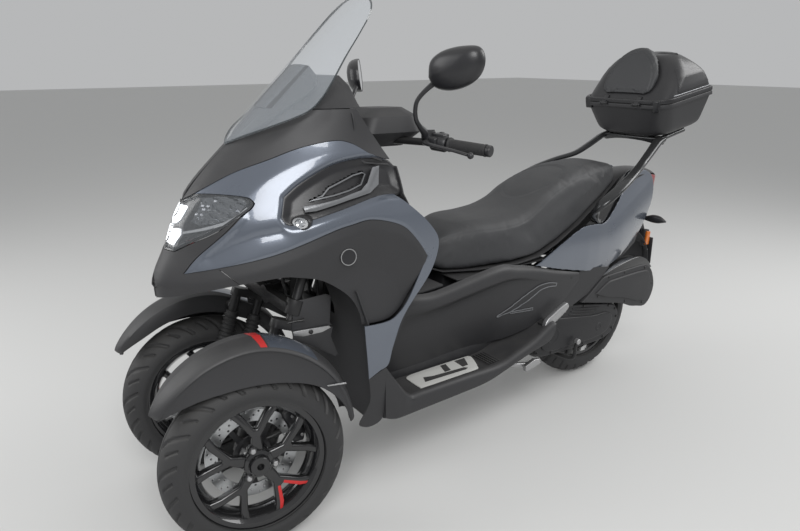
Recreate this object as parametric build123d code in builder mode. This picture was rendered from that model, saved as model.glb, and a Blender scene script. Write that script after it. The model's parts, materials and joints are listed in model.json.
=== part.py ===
"""Three-wheeled scooter with two leaning front wheels, a tall screen and a top box.

Sizes are in millimetres. X points forward, Y to the rider's left, Z up.
The origin lies on the ground below the middle of the vehicle's length.
The front wheels and the handlebar stand turned a little to the right, as parked.
"""
from build123d import *
from math import cos, radians, sin, tan
import os

os.makedirs("parts", exist_ok=True)

# Wheels and wheelbase
FRONT_AXLE_X = 955.0
REAR_AXLE_X = -640.0
TRACK_HALF = 235.0
FRONT_TYRE_R = 262.0
FRONT_TYRE_W = 118.0
REAR_TYRE_R = 276.0
REAR_TYRE_W = 140.0
RIM_FLANGE_R = 190.0
RIM_WALL = 5.0
FRONT_RIM_W = 96.0
REAR_RIM_W = 112.0
TYRE_BEAD_WALL = 9.0
HUB_R = 44.0
AXLE_R = 10.0
AXLE_GAP = 0.1
DISC_R = 133.5
DISC_T = 5.0
FRONT_DISC_INSET = 35.0
HUB_INNER = 30.0
REAR_HUB_HALF = 60.0
SPOKE_COUNT = 5

# Steering
CASTER = 20.0
STEER_AXIS_Y = 148.0
STEER_AXIS_X = 927.6
BAR_AXIS_X = 402.0
BAR_AXIS_Z = 1075.0
STEER_REST = -8.5
STEM_R = 14.0
EYE_R = 26.0
LOWER_ARM_Z = 650.0
UPPER_ARM_Z = 760.0

# Body panels
PANEL = 4.0
SEAM_HALF = 0.3
SEAT_GAP = 0.3
COWL_REAR = 330.0
DUCT_DEPTH = 6.0

# Horizontal sections of the front body: height, nose tip, shoulder, half width
NOSE_SECTIONS = [
    (200.0, 975.0, 560.0, 246.0),
    (330.0, 1040.0, 560.0, 258.0),
    (450.0, 1090.0, 560.0, 268.0),
    (620.0, 1135.0, 600.0, 274.0),
    (740.0, 1150.0, 640.0, 276.0),
    (840.0, 1105.0, 640.0, 276.0),
    (930.0, 1066.0, 630.0, 268.0),
    (1010.0, 1008.0, 600.0, 240.0),
    (1105.0, 909.0, 570.0, 206.0),
    (1200.0, 800.0, 560.0, 185.0),
]

UP_AXIS = Vector(-sin(radians(CASTER)), 0, cos(radians(CASTER)))


def steer_point(side, height):
    """Point of a front wheel's steering axis at a given height."""
    x = STEER_AXIS_X - (height - FRONT_TYRE_R) * tan(radians(CASTER))
    return Vector(x, side * STEER_AXIS_Y, height)


def bar_point(height):
    """Point of the handlebar's steering axis at a given height."""
    x = BAR_AXIS_X - (height - BAR_AXIS_Z) * tan(radians(CASTER))
    return Vector(x, 0, height)


def rest_slide(side):
    """Way a turned front wheel slides along its axis to stand on the ground again."""
    axis = Axis(steer_point(side, FRONT_TYRE_R), UP_AXIS)
    hub = Vertex(FRONT_AXLE_X, side * TRACK_HALF, FRONT_TYRE_R)
    outer = Vertex(FRONT_AXLE_X, side * (TRACK_HALF + 100), FRONT_TYRE_R)
    centre = hub.rotate(axis, STEER_REST).center()
    spin = outer.rotate(axis, STEER_REST).center()
    camber_sine = (spin.Z - centre.Z) / 100
    crown = FRONT_TYRE_W / 2
    standing = (FRONT_TYRE_R - crown) * (1 - camber_sine**2) ** 0.5 + crown
    return (standing - centre.Z) / cos(radians(CASTER))


def turned(shape, side):
    """A steered front piece in its parked position."""
    axis = Axis(steer_point(side, FRONT_TYRE_R), UP_AXIS)
    return shape.rotate(axis, STEER_REST).moved(Location(UP_AXIS * rest_slide(side)))


def bar_turned(shape):
    """A piece of the handlebar in its parked position."""
    return shape.rotate(Axis(bar_point(BAR_AXIS_Z), UP_AXIS), STEER_REST)


def save(shape, name):
    """Write one piece under its name."""
    shape.label = name
    export_step(shape, "parts/" + name + ".step")


def rods(rows):
    """Round bars between pairs of points, with round ends: start, end, radius."""
    with BuildPart() as bars:
        for start, end, radius in rows:
            a = Vector(*start)
            b = Vector(*end)
            with BuildSketch(Plane(origin=a, z_dir=b - a)):
                Circle(radius)
            extrude(amount=(b - a).length)
            with Locations(a, b):
                Sphere(radius)
    return bars.part


def both_sides(rows):
    """The same bars on the left and on the right."""
    mirrored = [((a[0], -a[1], a[2]), (b[0], -b[1], b[2]), r) for a, b, r in rows]
    return rows + mirrored


def side_plate(points, near, far):
    """A plate drawn in side view, from one distance off the middle to another."""
    with BuildPart() as plate:
        with BuildSketch(Plane.XZ.offset(-near)):
            with BuildLine():
                Polyline(*points, close=True)
            make_face()
        extrude(amount=-(far - near))
    return plate.part


def skin(rows, wall):
    """A curved side panel lofted from sections across the vehicle.

    Each row: x, bottom y and z, ridge y and z, top y and z.
    """
    with BuildPart() as panel:
        for x, low_y, low_z, ridge_y, ridge_z, top_y, top_z in rows:
            with BuildSketch(Plane.YZ.offset(x)):
                with BuildLine():
                    Polyline(
                        (low_y, low_z), (ridge_y, ridge_z), (top_y, top_z),
                        (top_y - wall, top_z), (ridge_y - wall, ridge_z), (low_y - wall, low_z),
                        close=True,
                    )
                make_face()
        loft(ruled=True)
    return panel.part


def with_mirror(shape):
    """A left piece and its right-hand copy."""
    return Compound([shape, mirror(shape, about=Plane.XZ)])


# Front body shell
HEAD_TUBE_R = 27.0


def nose_envelope(inset):
    """The front body as one closed form, drawn in by the given inset."""
    with BuildPart() as envelope:
        for height, tip, shoulder, half in NOSE_SECTIONS:
            side = half - inset
            point = tip - 1.4 * inset
            rear = COWL_REAR - inset
            with BuildSketch(Plane.XY.offset(height)):
                with BuildLine():
                    Line((rear, -side), (shoulder, -side))
                    TangentArc((shoulder, -side), (point, 0), tangent=(1, 0))
                    TangentArc((shoulder, side), (point, 0), tangent=(1, 0))
                    Line((shoulder, side), (rear, side))
                    Line((rear, side), (rear, -side))
                make_face()
        loft()
    return envelope.part


outer_form = nose_envelope(0)
inner_form = nose_envelope(PANEL)
deep_face = nose_envelope(PANEL + SEAT_GAP)
deep_form = nose_envelope(PANEL + SEAT_GAP + DUCT_DEPTH)
front_skin = outer_form - inner_form
deep_skin = deep_face - deep_form

# Seams of the front body in side view, from the nose backwards
NOSE_SEAM = [(1021, 979), (926, 1035), (831, 1073), (750, 1102), (663, 1117), (615, 1107),
             (567, 1078), (524, 1061)]
LAMP_TOP = [(1070, 950), (1021, 979), (997, 986), (951, 987), (907, 982), (895, 970)]
LAMP_LOW = [(1072, 842), (1046, 860), (992, 892), (947, 926), (908, 953)]
TIP_EDGE = [(1073, 784), (1041, 825), (979, 887), (910, 946)]
COWL_LOW = [(1038, 792), (1000, 801), (892, 828), (839, 844), (721, 884), (658, 897), (590, 902),
            (497, 873), (445, 826), (404, 768), (416, 746), (470, 646), (508, 604), (548, 586),
            (627, 590)]
COWL_REAR_EDGE = [(503, 959), (449, 916), (395, 865), (360, 813), (371, 753), (402, 697),
                  (458, 632), (496, 577), (526, 498), (541, 445), (572, 431), (609, 412)]
BELLY_EDGE = [(1136, 707), (1107, 716), (1034, 739), (958, 758), (861, 772), (815, 767),
              (758, 752), (710, 723), (665, 683), (631, 630), (627, 590)]
DUCT = [(821, 978), (779, 1007), (722, 1036), (673, 1054), (618, 1063), (567, 1064),
        (509, 1052), (486, 1026), (482, 992), (486, 963), (560, 962), (693, 935), (750, 922),
        (818, 908), (837, 925), (835, 940)]


def front_panel(skin_form, outline, seam=SEAM_HALF):
    """The part of a front skin inside a side-view outline, drawn in by half a seam."""
    with BuildPart() as panel:
        add(skin_form)
        with BuildSketch(Plane.XZ):
            with BuildLine():
                Polyline(*outline, close=True)
            make_face()
            if seam > 0:
                offset(amount=-seam, kind=Kind.INTERSECTION, mode=Mode.REPLACE)
        extrude(amount=400, both=True, mode=Mode.INTERSECT)
    return panel.part


nose_outline = ([(1160, 950)] + LAMP_TOP[:2] + NOSE_SEAM[1:] + [(500, 1056), (590, 1210)]
                + [(1160, 1210)])
save(front_panel(front_skin, nose_outline), "nose_cowl")

lamp_outline = [(1160, 842)] + LAMP_LOW + LAMP_TOP[::-1] + [(1160, 950)]
save(front_panel(front_skin, lamp_outline), "headlamps")

cowl_outline = (TIP_EDGE + LAMP_TOP[::-1][:-1] + NOSE_SEAM[1:] + [(509, 1052)] + COWL_REAR_EDGE
                + COWL_LOW[::-1])
cowl_raw = front_panel(front_skin, cowl_outline)
duct_hole = side_plate(DUCT, -400, 400)
save(cowl_raw - duct_hole, "side_cowls")

lower_outline = ([(1200, 700)] + BELLY_EDGE + COWL_LOW[::-1][1:] + TIP_EDGE + LAMP_LOW[::-1]
                 + [(1200, 842)])
lower_cowls = front_panel(front_skin, lower_outline, seam=0)

duct_outline = [(850, 985), (779, 1018), (722, 1046), (618, 1073), (560, 1074), (505, 1060),
                (488, 1030), (487, 992), (490, 953), (560, 952), (693, 925), (818, 896),
                (848, 920)]
save(front_panel(deep_skin, duct_outline), "duct_panels")

corner_outline = [(609, 412), (604, 330), (636, 268), (630, 250), (593, 240), (550, 262),
                  (550, 440), (572, 431)]
shield_corners = front_panel(front_skin, corner_outline)
save(Compound([lower_cowls, shield_corners]), "lower_cowls")

# Rider's side of the leg shield and the liner behind the front wheels
shelf_line = [(601, 1200), (596, 1070), (575, 1054), (500, 1044), (478, 1033)]
shelf_back = [(x + PANEL, z - PANEL) for x, z in shelf_line[::-1]]
shield_line = [(482, 1035), (480, 960), (455, 900), (415, 840), (396, 780), (412, 705),
               (468, 625), (508, 540), (545, 452)]
shield_back = [(x - PANEL, z) for x, z in shield_line[::-1]]
TUNNEL_HALF = 138.0
TUNNEL_TOP = 620.0
with BuildPart() as stem_shelf:
    with BuildSketch(Plane.XZ):
        with BuildLine():
            Polyline(*(shelf_line + shelf_back), close=True)
        make_face()
    extrude(amount=290, both=True)
    add(nose_envelope(PANEL + 2 * SEAT_GAP + DUCT_DEPTH), mode=Mode.INTERSECT)
with BuildPart() as leg_shield:
    with BuildSketch(Plane.XZ):
        with BuildLine():
            Polyline(*(shield_line + shield_back), close=True)
        make_face()
    extrude(amount=290, both=True)
    add(deep_face, mode=Mode.INTERSECT)
    add(stem_shelf.part)
    with Locations((500, 0, TUNNEL_TOP - 150)):
        Box(300, 2 * TUNNEL_HALF, 300, mode=Mode.SUBTRACT)
    with BuildSketch(Plane(origin=bar_point(780), z_dir=UP_AXIS)):
        Circle(HEAD_TUBE_R + 6)
    extrude(amount=360, mode=Mode.SUBTRACT)
save(leg_shield.part, "leg_shield")

liner_line = [(650, 700), (612, 590), (598, 450), (598, 262)]
liner_back = [(x - PANEL, z) for x, z in liner_line[::-1]]
with BuildPart() as front_liner:
    with BuildSketch(Plane.XZ):
        with BuildLine():
            Polyline(*(liner_line + liner_back), close=True)
        make_face()
    extrude(amount=300, both=True)
    add(deep_face, mode=Mode.INTERSECT)
    with Locations((650, 0, 660)):
        Box(200, 130, 200, mode=Mode.SUBTRACT)
save(front_liner.part, "front_liner")

# Windscreen
SCREEN_T = 4.0
SCREEN_LOW = (1095.0, 914.0, 185.0)
SCREEN_HIGH = (1515.0, 452.0, 290.0)
SCREEN_OUTLINE = [(0, 1107), (40, 1123), (110, 1155), (160, 1190), (170, 1225), (165, 1275),
                  (150, 1340), (136, 1400), (118, 1450), (85, 1485), (40, 1501), (0, 1504)]


def screen_form(grow):
    """The screen's cone-like form between a tight low arc and a wide high arc."""
    with BuildPart() as form:
        for height, front, radius in (SCREEN_LOW, SCREEN_HIGH):
            with BuildSketch(Plane.XY.offset(height)):
                with Locations((front - radius, 0)):
                    Circle(radius + grow)
        loft()
    return form.part


with BuildPart() as windscreen:
    add(screen_form(0))
    add(screen_form(-SCREEN_T), mode=Mode.SUBTRACT)
    with BuildSketch(Plane.YZ.offset(430)):
        with BuildLine():
            Polyline(*(SCREEN_OUTLINE + [(-y, z) for y, z in SCREEN_OUTLINE[-2:0:-1]]), close=True)
        make_face()
    extrude(amount=600, mode=Mode.INTERSECT)
    with BuildSketch(Plane.XZ):
        with BuildLine():
            Polyline((610, 1080), (1000, 1080), (1000, 1530), (380, 1530), (380, 1400), close=True)
        make_face()
    extrude(amount=200, both=True, mode=Mode.INTERSECT)
    add(nose_envelope(-SEAT_GAP), mode=Mode.SUBTRACT)
save(windscreen.part, "windscreen")

# Dash cowl on the open top of the nose, with the bracket that carries the screen
NOSE_TOP = NOSE_SECTIONS[-1][0]
DASH_REAR = 572.0
DASH_SECTIONS = [
    (NOSE_TOP + SEAT_GAP, 798.0, 580.0, 183.0),
    (1214.0, 760.0, 580.0, 166.0),
    (1258.0, 690.0, 578.0, 124.0),
    (1284.0, 650.0, 576.0, 70.0),
]
with BuildPart() as dash_cowl:
    for height, tip, shoulder, half in DASH_SECTIONS:
        with BuildSketch(Plane.XY.offset(height)):
            with BuildLine():
                Line((DASH_REAR, -half), (shoulder, -half))
                TangentArc((shoulder, -half), (tip, 0), tangent=(1, 0))
                TangentArc((shoulder, half), (tip, 0), tangent=(1, 0))
                Line((shoulder, half), (DASH_REAR, half))
                Line((DASH_REAR, half), (DASH_REAR, -half))
            make_face()
    loft(ruled=True)
    with BuildSketch(Plane.XZ):
        with BuildLine():
            Polyline((800, NOSE_TOP + SEAT_GAP), (640, NOSE_TOP + SEAT_GAP), (640, 1285), (680, 1330),
                     (720, 1290), (800, 1215), close=True)
        make_face()
    extrude(amount=62, both=True)
    add(screen_form(-SCREEN_T - SEAT_GAP), mode=Mode.INTERSECT)
save(dash_cowl.part, "dash_cowl")

# Front indicators
with BuildPart() as indicators:
    with BuildSketch(Plane(origin=(795, 225, 915), z_dir=(0.45, 1, 0))):
        Ellipse(30, 18)
    extrude(amount=45, taper=12)

# Pivots of the stands and the seat
SIDE_PIVOT_X = -30.0
SIDE_PIVOT_Z = 222.0
SIDE_STAND_Y = 108.0
SIDE_PIN_R = 8.0
STAND_TAB_Y = 88.0
SEAT_PIVOT_X = 268.0
SEAT_PIVOT_Z = 634.0
SEAT_PIN_R = 5.0
FLOOR_INNER = 112.0

# Frame
ENGINE_FRONT = -90.0
ENGINE_BOTTOM = 225.0
PIVOT_R = 10.0
frame_rods = both_sides([
    ((560, 38, 770), (572, 60, 480), 15),
    ((572, 60, 480), (545, 84, 262), 15),
    ((545, 84, 262), (-75, 90, 262), 14),
    ((-75, 90, 262), (-250, 95, 560), 14),
    ((-250, 95, 560), (-880, 84, 800), 13),
    ((572, 60, 480), (250, 84, 400), 14),
    ((250, 84, 400), (-165, 92, 415), 14),
    ((560, 38, 770), (720, 20, 660), 14),
    ((560, 38, 770), (720, 20, 770), 14),
    ((700, 20, 770), (700, 110, 900), 9),
    ((700, 110, 900), (690, 150, 1100), 9),
    ((690, 150, 1100), (640, 150, 1192), 8),
    ((420, 84, 262), (420, 100, 262), FLOOR_INNER - 100.3),
    ((0, 88, 262), (0, 100, 294), FLOOR_INNER - 100.3),
]) + [
    ((560, -42, 770), (560, 42, 770), 20),
    ((700, -110, 900), (700, 110, 900), 9),
    ((545, -84, 262), (545, 84, 262), 14),
    ((-75.3, -90, 262), (-75.3, 90, 262), 14),
    ((-250, -95, 560), (-250, 95, 560), 13),
    ((-880, -84, 800), (-880, 84, 800), 13),
    ((572, -60, 480), (572, 60, 480), 13),
    ((245, -84, 400), (245, 84, 400), 10),
]
lower_bar_x = steer_point(1, LOWER_ARM_Z).X + 1
upper_bar_x = steer_point(1, UPPER_ARM_Z).X + 1
with BuildPart() as frame:
    add(rods(frame_rods))
    with BuildSketch(Plane(origin=bar_point(725), z_dir=UP_AXIS)):
        Circle(HEAD_TUBE_R)
    extrude(amount=170)
    with Locations((720, 0, 705)):
        Box(40, 56, 210)
    for front_x, height in ((lower_bar_x, LOWER_ARM_Z), (upper_bar_x, UPPER_ARM_Z)):
        with BuildSketch(Plane(origin=(735, 0, height), z_dir=(1, 0, 0))):
            Circle(24)
        extrude(amount=front_x - 735)
        with BuildSketch(Plane(origin=(735, 0, height), z_dir=(1, 0, 0))):
            Circle(PIVOT_R)
        extrude(amount=front_x - 735 + 26)
    with BuildSketch(Plane(origin=bar_point(740), z_dir=UP_AXIS)):
        Circle(STEM_R + AXLE_GAP)
    extrude(amount=260, mode=Mode.SUBTRACT)
    with BuildSketch(Plane.XZ.offset(-STAND_TAB_Y)):
        with Locations((SIDE_PIVOT_X, 240)):
            Rectangle(36, 40)
        with Locations((SIDE_PIVOT_X, SIDE_PIVOT_Z)):
            Circle(18)
    extrude(amount=-(SIDE_STAND_Y - STAND_TAB_Y - 1))
    with BuildSketch(Plane.XZ.offset(-STAND_TAB_Y)):
        with Locations((SIDE_PIVOT_X, SIDE_PIVOT_Z)):
            Circle(SIDE_PIN_R)
    extrude(amount=-(SIDE_STAND_Y - STAND_TAB_Y + 18))
    for lug_y in (46, -52):
        with BuildSketch(Plane.XZ.offset(-lug_y)):
            with BuildLine():
                Polyline((232, 392), (256, 392), (257, 624), (276, 628), (276, 642), (262, 646),
                         (240, 640), close=True)
            make_face()
        extrude(amount=-6)
    with BuildSketch(Plane.XZ.offset(52)):
        with Locations((SEAT_PIVOT_X, SEAT_PIVOT_Z)):
            Circle(SEAT_PIN_R)
    extrude(amount=-104)
save(frame.part, "frame")

# Leaning arms
with BuildPart() as lean_arms:
    for back_x, height in ((lower_bar_x, LOWER_ARM_Z), (upper_bar_x, UPPER_ARM_Z)):
        for arm_side in (1, -1):
            with BuildSketch(Plane(origin=steer_point(arm_side, height) - UP_AXIS * 22, z_dir=UP_AXIS)):
                Circle(EYE_R)
            extrude(amount=44)
        with Locations((back_x + 13, 0, height)):
            Box(26, 2 * STEER_AXIS_Y, 34)
        with BuildSketch(Plane(origin=(back_x, 0, height), z_dir=(1, 0, 0))):
            Circle(28)
        extrude(amount=26)
        with BuildSketch(Plane(origin=(back_x, 0, height), z_dir=(1, 0, 0))):
            Circle(PIVOT_R + AXLE_GAP)
        extrude(amount=40, mode=Mode.SUBTRACT)
    for arm_side in (1, -1):
        with BuildSketch(Plane(origin=steer_point(arm_side, 560), z_dir=UP_AXIS)):
            Circle(STEM_R + AXLE_GAP)
        extrude(amount=300, mode=Mode.SUBTRACT)
save(lean_arms.part, "lean_arms")


# Wheels
def wheel_axis(x, side, radius, track):
    """Spin axis of a wheel."""
    return Axis((x, side * track, radius), (0, 1, 0))


def radial_plane(x, side, radius, track):
    """Plane through a wheel's axis: local x runs outwards from it, local y to the outer side."""
    return Plane(origin=(x, side * track, radius), x_dir=(0, 0, 1), z_dir=(-side, 0, 0))


def tyre(x, side, radius, width, rim_width, track):
    """A road tyre with a round crown on its rim."""
    half = width / 2
    bead = rim_width / 2 - RIM_WALL
    with BuildPart() as ring:
        with BuildSketch(radial_plane(x, side, radius, track)):
            with BuildLine():
                ThreePointArc((radius - half * 0.93, -half), (radius, 0), (radius - half * 0.93, half))
                Line((radius - half * 0.93, half), (RIM_FLANGE_R + 2, bead))
                Line((RIM_FLANGE_R + 2, bead), (RIM_FLANGE_R - 12, bead))
                Line((RIM_FLANGE_R - 12, bead), (RIM_FLANGE_R - 12, bead - TYRE_BEAD_WALL))
                ThreePointArc((RIM_FLANGE_R - 12, bead - TYRE_BEAD_WALL), (radius - 12, 0),
                              (RIM_FLANGE_R - 12, -bead + TYRE_BEAD_WALL))
                Line((RIM_FLANGE_R - 12, -bead + TYRE_BEAD_WALL), (RIM_FLANGE_R - 12, -bead))
                Line((RIM_FLANGE_R - 12, -bead), (RIM_FLANGE_R + 2, -bead))
                Line((RIM_FLANGE_R + 2, -bead), (radius - half * 0.93, -half))
            make_face()
        revolve(axis=wheel_axis(x, side, radius, track))
    return ring.part


def rim(x, side, radius, rim_width, track, hub_in, hub_out):
    """A cast rim with five forked spokes, a hub and a bore."""
    half = rim_width / 2
    seat = RIM_FLANGE_R - 12
    with BuildPart() as wheel:
        with BuildSketch(radial_plane(x, side, radius, track)):
            with BuildLine():
                Polyline((RIM_FLANGE_R, -half), (RIM_FLANGE_R, -half + RIM_WALL), (seat, -half + RIM_WALL),
                         (seat, -half + 22), (seat - 16, -half + 34), (seat - 16, half - 34),
                         (seat, half - 22), (seat, half - RIM_WALL), (RIM_FLANGE_R, half - RIM_WALL),
                         (RIM_FLANGE_R, half), (seat - 6, half), (seat - 24, half - 30),
                         (seat - 24, -half + 30), (seat - 6, -half), close=True)
            make_face()
            with BuildLine():
                Polyline((AXLE_R + AXLE_GAP, -hub_in), (HUB_R, -hub_in), (HUB_R, hub_out - 16),
                         (HUB_R - 14, hub_out), (AXLE_R + AXLE_GAP, hub_out), close=True)
            make_face()
        revolve(axis=wheel_axis(x, side, radius, track))
        face_plane = Plane(origin=(x, side * (track + 12), radius), x_dir=(0, 0, 1), z_dir=(0, side, 0))
        with BuildSketch(face_plane):
            with PolarLocations(0, SPOKE_COUNT):
                with BuildLine():
                    Polyline((HUB_R - 8, -20), (88, -13), (seat - 20, -78), (seat - 20, -52),
                             (98, 0), (seat - 20, 52), (seat - 20, 78), (88, 13),
                             (HUB_R - 8, 20), close=True)
                make_face()
        extrude(amount=22)
    return wheel.part


def brake_disc(x, side, radius, track, offset, inner):
    """A brake disc with its carrier, on the inner side of the hub."""
    with BuildPart() as disc:
        plane = Plane(origin=(x, side * (track - offset), radius), x_dir=(0, 0, 1), z_dir=(0, side, 0))
        with BuildSketch(plane):
            Circle(DISC_R)
            Circle(DISC_R - 36, mode=Mode.SUBTRACT)
            with PolarLocations(0, 5):
                with BuildLine():
                    Polyline((inner, -14), (DISC_R - 30, -9), (DISC_R - 30, 9), (inner, 14), close=True)
                make_face()
            Circle(HUB_R + 10)
            Circle(inner, mode=Mode.SUBTRACT)
        extrude(amount=DISC_T)
    return disc.part


for side, tag in ((1, "left"), (-1, "right")):
    front = (FRONT_AXLE_X, side, FRONT_TYRE_R)
    save(turned(tyre(*front, FRONT_TYRE_W, FRONT_RIM_W, TRACK_HALF), side), "tyre_" + tag)
    save(turned(rim(*front, FRONT_RIM_W, TRACK_HALF, HUB_INNER, 56), side), "rim_" + tag)
    save(turned(brake_disc(*front, TRACK_HALF, FRONT_DISC_INSET, AXLE_R + AXLE_GAP), side), "disc_" + tag)

rear = (REAR_AXLE_X, 1, REAR_TYRE_R)
save(tyre(*rear, REAR_TYRE_W, REAR_RIM_W, 0), "tyre_rear")
save(rim(*rear, REAR_RIM_W, 0, REAR_HUB_HALF, REAR_HUB_HALF), "rim_rear")
save(brake_disc(REAR_AXLE_X, -1, REAR_TYRE_R, 0, -REAR_HUB_HALF, AXLE_R + AXLE_GAP), "disc_rear")

FENDER_T = 4.0
FENDER_HALF = 66.0

# Front forks: stem, crown, fender lug, two tubes, axle bracket and stub axle
FORK_TUBE_R = 15.0
for side, tag in ((1, "left"), (-1, "right")):
    low = steer_point(side, FRONT_TYRE_R)
    forward = Vector(cos(radians(CASTER)), 0, sin(radians(CASTER)))
    crown_at = steer_point(side, 590)
    with BuildPart() as fork:
        with BuildSketch(Plane(origin=crown_at, z_dir=UP_AXIS)):
            Circle(STEM_R)
        extrude(amount=240)
        with BuildSketch(Plane(origin=crown_at, x_dir=forward, z_dir=UP_AXIS)):
            SlotCenterToCenter(76, 40)
        extrude(amount=26)
        for shift in (-38, 38):
            with BuildSketch(Plane(origin=low + forward * shift - UP_AXIS * 20, z_dir=UP_AXIS)):
                Circle(FORK_TUBE_R)
            extrude(amount=380)
        with BuildSketch(Plane(origin=low - UP_AXIS * 30, x_dir=forward, z_dir=UP_AXIS)):
            SlotCenterToCenter(90, 36)
        extrude(amount=70)
        add(rods([((845, side * 148, 606), (866, side * 152, 572), 9)]))
        with BuildSketch(Plane(origin=(866, side * 152, 572), z_dir=(0, side, 0))):
            Circle(12)
        extrude(amount=TRACK_HALF - FENDER_HALF + 2 - 152)
        with BuildSketch(Plane(origin=(FRONT_AXLE_X, side * (STEER_AXIS_Y - 10), FRONT_TYRE_R),
                               z_dir=(0, side, 0))):
            Circle(AXLE_R)
        extrude(amount=TRACK_HALF - STEER_AXIS_Y + 50)
    save(turned(fork.part, side), "fork_" + tag)

# Front fenders: angle round the wheel, crest radius, half width, inner and outer skirt depth
FENDER_SECTIONS = [
    (38.0, 330.0, 22.0, 6.0, 6.0),
    (44.0, 339.0, 44.0, 20.0, 20.0),
    (54.0, 344.0, 60.0, 34.0, 44.0),
    (72.0, 355.0, FENDER_HALF, 46.0, 82.0),
    (92.0, 360.0, FENDER_HALF, 54.0, 96.0),
    (112.0, 350.0, FENDER_HALF, 50.0, 78.0),
    (134.0, 334.0, FENDER_HALF, 36.0, 42.0),
    (152.0, 318.0, 64.0, 22.0, 16.0),
    (167.0, 308.0, 52.0, 8.0, 6.0),
]
for side, tag in ((1, "left"), (-1, "right")):
    with BuildPart() as fender:
        for angle, crest, half, inner_depth, outer_depth in FENDER_SECTIONS:
            radial = Vector(cos(radians(angle)), 0, sin(radians(angle)))
            origin = Vector(FRONT_AXLE_X, side * TRACK_HALF, FRONT_TYRE_R) + radial * crest
            outwards = Vector(0, side, 0)
            with BuildSketch(Plane(origin=origin, x_dir=outwards, z_dir=outwards.cross(radial))):
                with BuildLine():
                    Polyline(
                        (-half, -inner_depth - 12), (-half * 0.93, -12), (-half * 0.5, -3), (0, 0),
                        (half * 0.5, -6), (half * 0.93, -22), (half, -outer_depth - 22),
                        (half - FENDER_T, -outer_depth - 22), (half * 0.93 - FENDER_T, -22 - FENDER_T),
                        (half * 0.5 - 1, -6 - FENDER_T), (0, -FENDER_T), (-half * 0.5 + 1, -3 - FENDER_T),
                        (-half * 0.93 + FENDER_T, -12 - FENDER_T), (-half + FENDER_T, -inner_depth - 12),
                        close=True,
                    )
                make_face()
        loft(ruled=True)
    save(turned(fender.part, side), "fender_" + tag)

# Handlebar, its cowl, grips, controls and mirrors
bar = bar_point(BAR_AXIS_Z)
BAR_R = 11.0
bar_rows = both_sides([
    ((bar.X, 0, BAR_AXIS_Z), (bar.X - 20, 105, BAR_AXIS_Z + 12), BAR_R),
    ((bar.X - 20, 105, BAR_AXIS_Z + 12), (301, 228, 1080), BAR_R),
    ((301, 228, 1080), (227, 363, 1062), BAR_R),
])
with BuildPart() as handlebar:
    add(rods(bar_rows))
    with BuildSketch(Plane(origin=bar_point(745), z_dir=UP_AXIS)):
        Circle(STEM_R)
    extrude(amount=350)
save(bar_turned(handlebar.part), "handlebar")

with BuildPart() as handlebar_cowl:
    for height, front, rear, half in ((1068, 478, 335, 84), (1112, 512, 305, 150), (1158, 490, 312, 136),
                                      (1184, 455, 345, 100)):
        with BuildSketch(Plane.XY.offset(height)):
            with Locations(((front + rear) / 2, 0)):
                RectangleRounded(front - rear, 2 * half, 40)
    loft(ruled=True)
    add(handlebar.part, mode=Mode.SUBTRACT)
save(bar_turned(handlebar_cowl.part), "handlebar_cowl")

grip_dir = Vector(227 - 301, 363 - 228, 1062 - 1080).normalized()


def grip_point(along, side):
    """Point on a grip's axis, measured from the inner end."""
    p = Vector(301, 228, 1080) + grip_dir * along
    return Vector(p.X, side * p.Y, p.Z)


with BuildPart() as hand_grips:
    for side in (1, -1):
        d = Vector(grip_dir.X, side * grip_dir.Y, grip_dir.Z)
        with BuildSketch(Plane(origin=grip_point(28, side), z_dir=d)):
            Circle(17)
        extrude(amount=140)
    add(handlebar.part, mode=Mode.SUBTRACT)
save(bar_turned(hand_grips.part), "hand_grips")

with BuildPart() as hand_controls:
    for side in (1, -1):
        d = Vector(grip_dir.X, side * grip_dir.Y, grip_dir.Z)
        with BuildSketch(Plane(origin=grip_point(-30, side), z_dir=d)):
            RectangleRounded(46, 52, 10)
        extrude(amount=54)
    add(rods(both_sides([
        ((310, 205, 1085), (355, 240, 1082), 9),
        ((355, 240, 1082), (300, 380, 1058), 6),
        ((300, 380, 1058), (292, 395, 1056), 9),
    ])))
    add(handlebar.part, mode=Mode.SUBTRACT)
    add(handlebar_cowl.part, mode=Mode.SUBTRACT)
save(bar_turned(hand_controls.part), "hand_controls")

with BuildPart() as mirrors:
    add(rods([
        ((330, 205, 1095), (381, 225, 1150), 7),
        ((381, 225, 1150), (378, 232, 1205), 7),
        ((378, 232, 1205), (335, 290, 1262), 7),
    ]))
    with BuildSketch(Plane(origin=(325, 335, 1290), x_dir=(-0.42, 0.85, 0.2), z_dir=(-0.85, -0.45, 0.1))):
        Ellipse(92, 56)
    extrude(amount=30, taper=14, both=False)
    add(hand_controls.part, mode=Mode.SUBTRACT)
    add(handlebar.part, mode=Mode.SUBTRACT)
    add(handlebar_cowl.part, mode=Mode.SUBTRACT)
save(bar_turned(with_mirror(mirrors.part)), "mirrors")

# Body covers, floor and belly
# Columns: x, then y and z of the lower edge, the ridge and the upper edge
COVER_SECTIONS = [
    (536, 130, 372, 176, 436, 168, 446),
    (440, 124, 330, 200, 560, 184, 600),
    (300, 124, 330, 206, 566, 184, 606),
    (40, 124, 330, 208, 585, 186, 643),
    (-60, 158, 345, 206, 575, 186, 630),
    (-166, 190, 380, 202, 552, 184, 605.4),
    (-290, 194, 424, 196, 516, 184, 567.6),
    (-405, 188, 510, 189, 520, 184, 539.8),
]
FLOOR_TOP = 300.0
FLOOR_OUTER = 262.0
FLOOR_LIP = 12.0
FLOOR_OUTLINE = [(548, 252), (490, 235), (121, 250), (-190, 330), (-215, 396), (-190, 392),
                 (-110, 350), (60, FLOOR_TOP), (450, FLOOR_TOP), (548, 438)]
FLOOR_LIP_OUTLINE = [(548, 438), (450, 338), (60, 338), (-60, 345), (-60, 300), (450, 280), (548, 300)]


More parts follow.
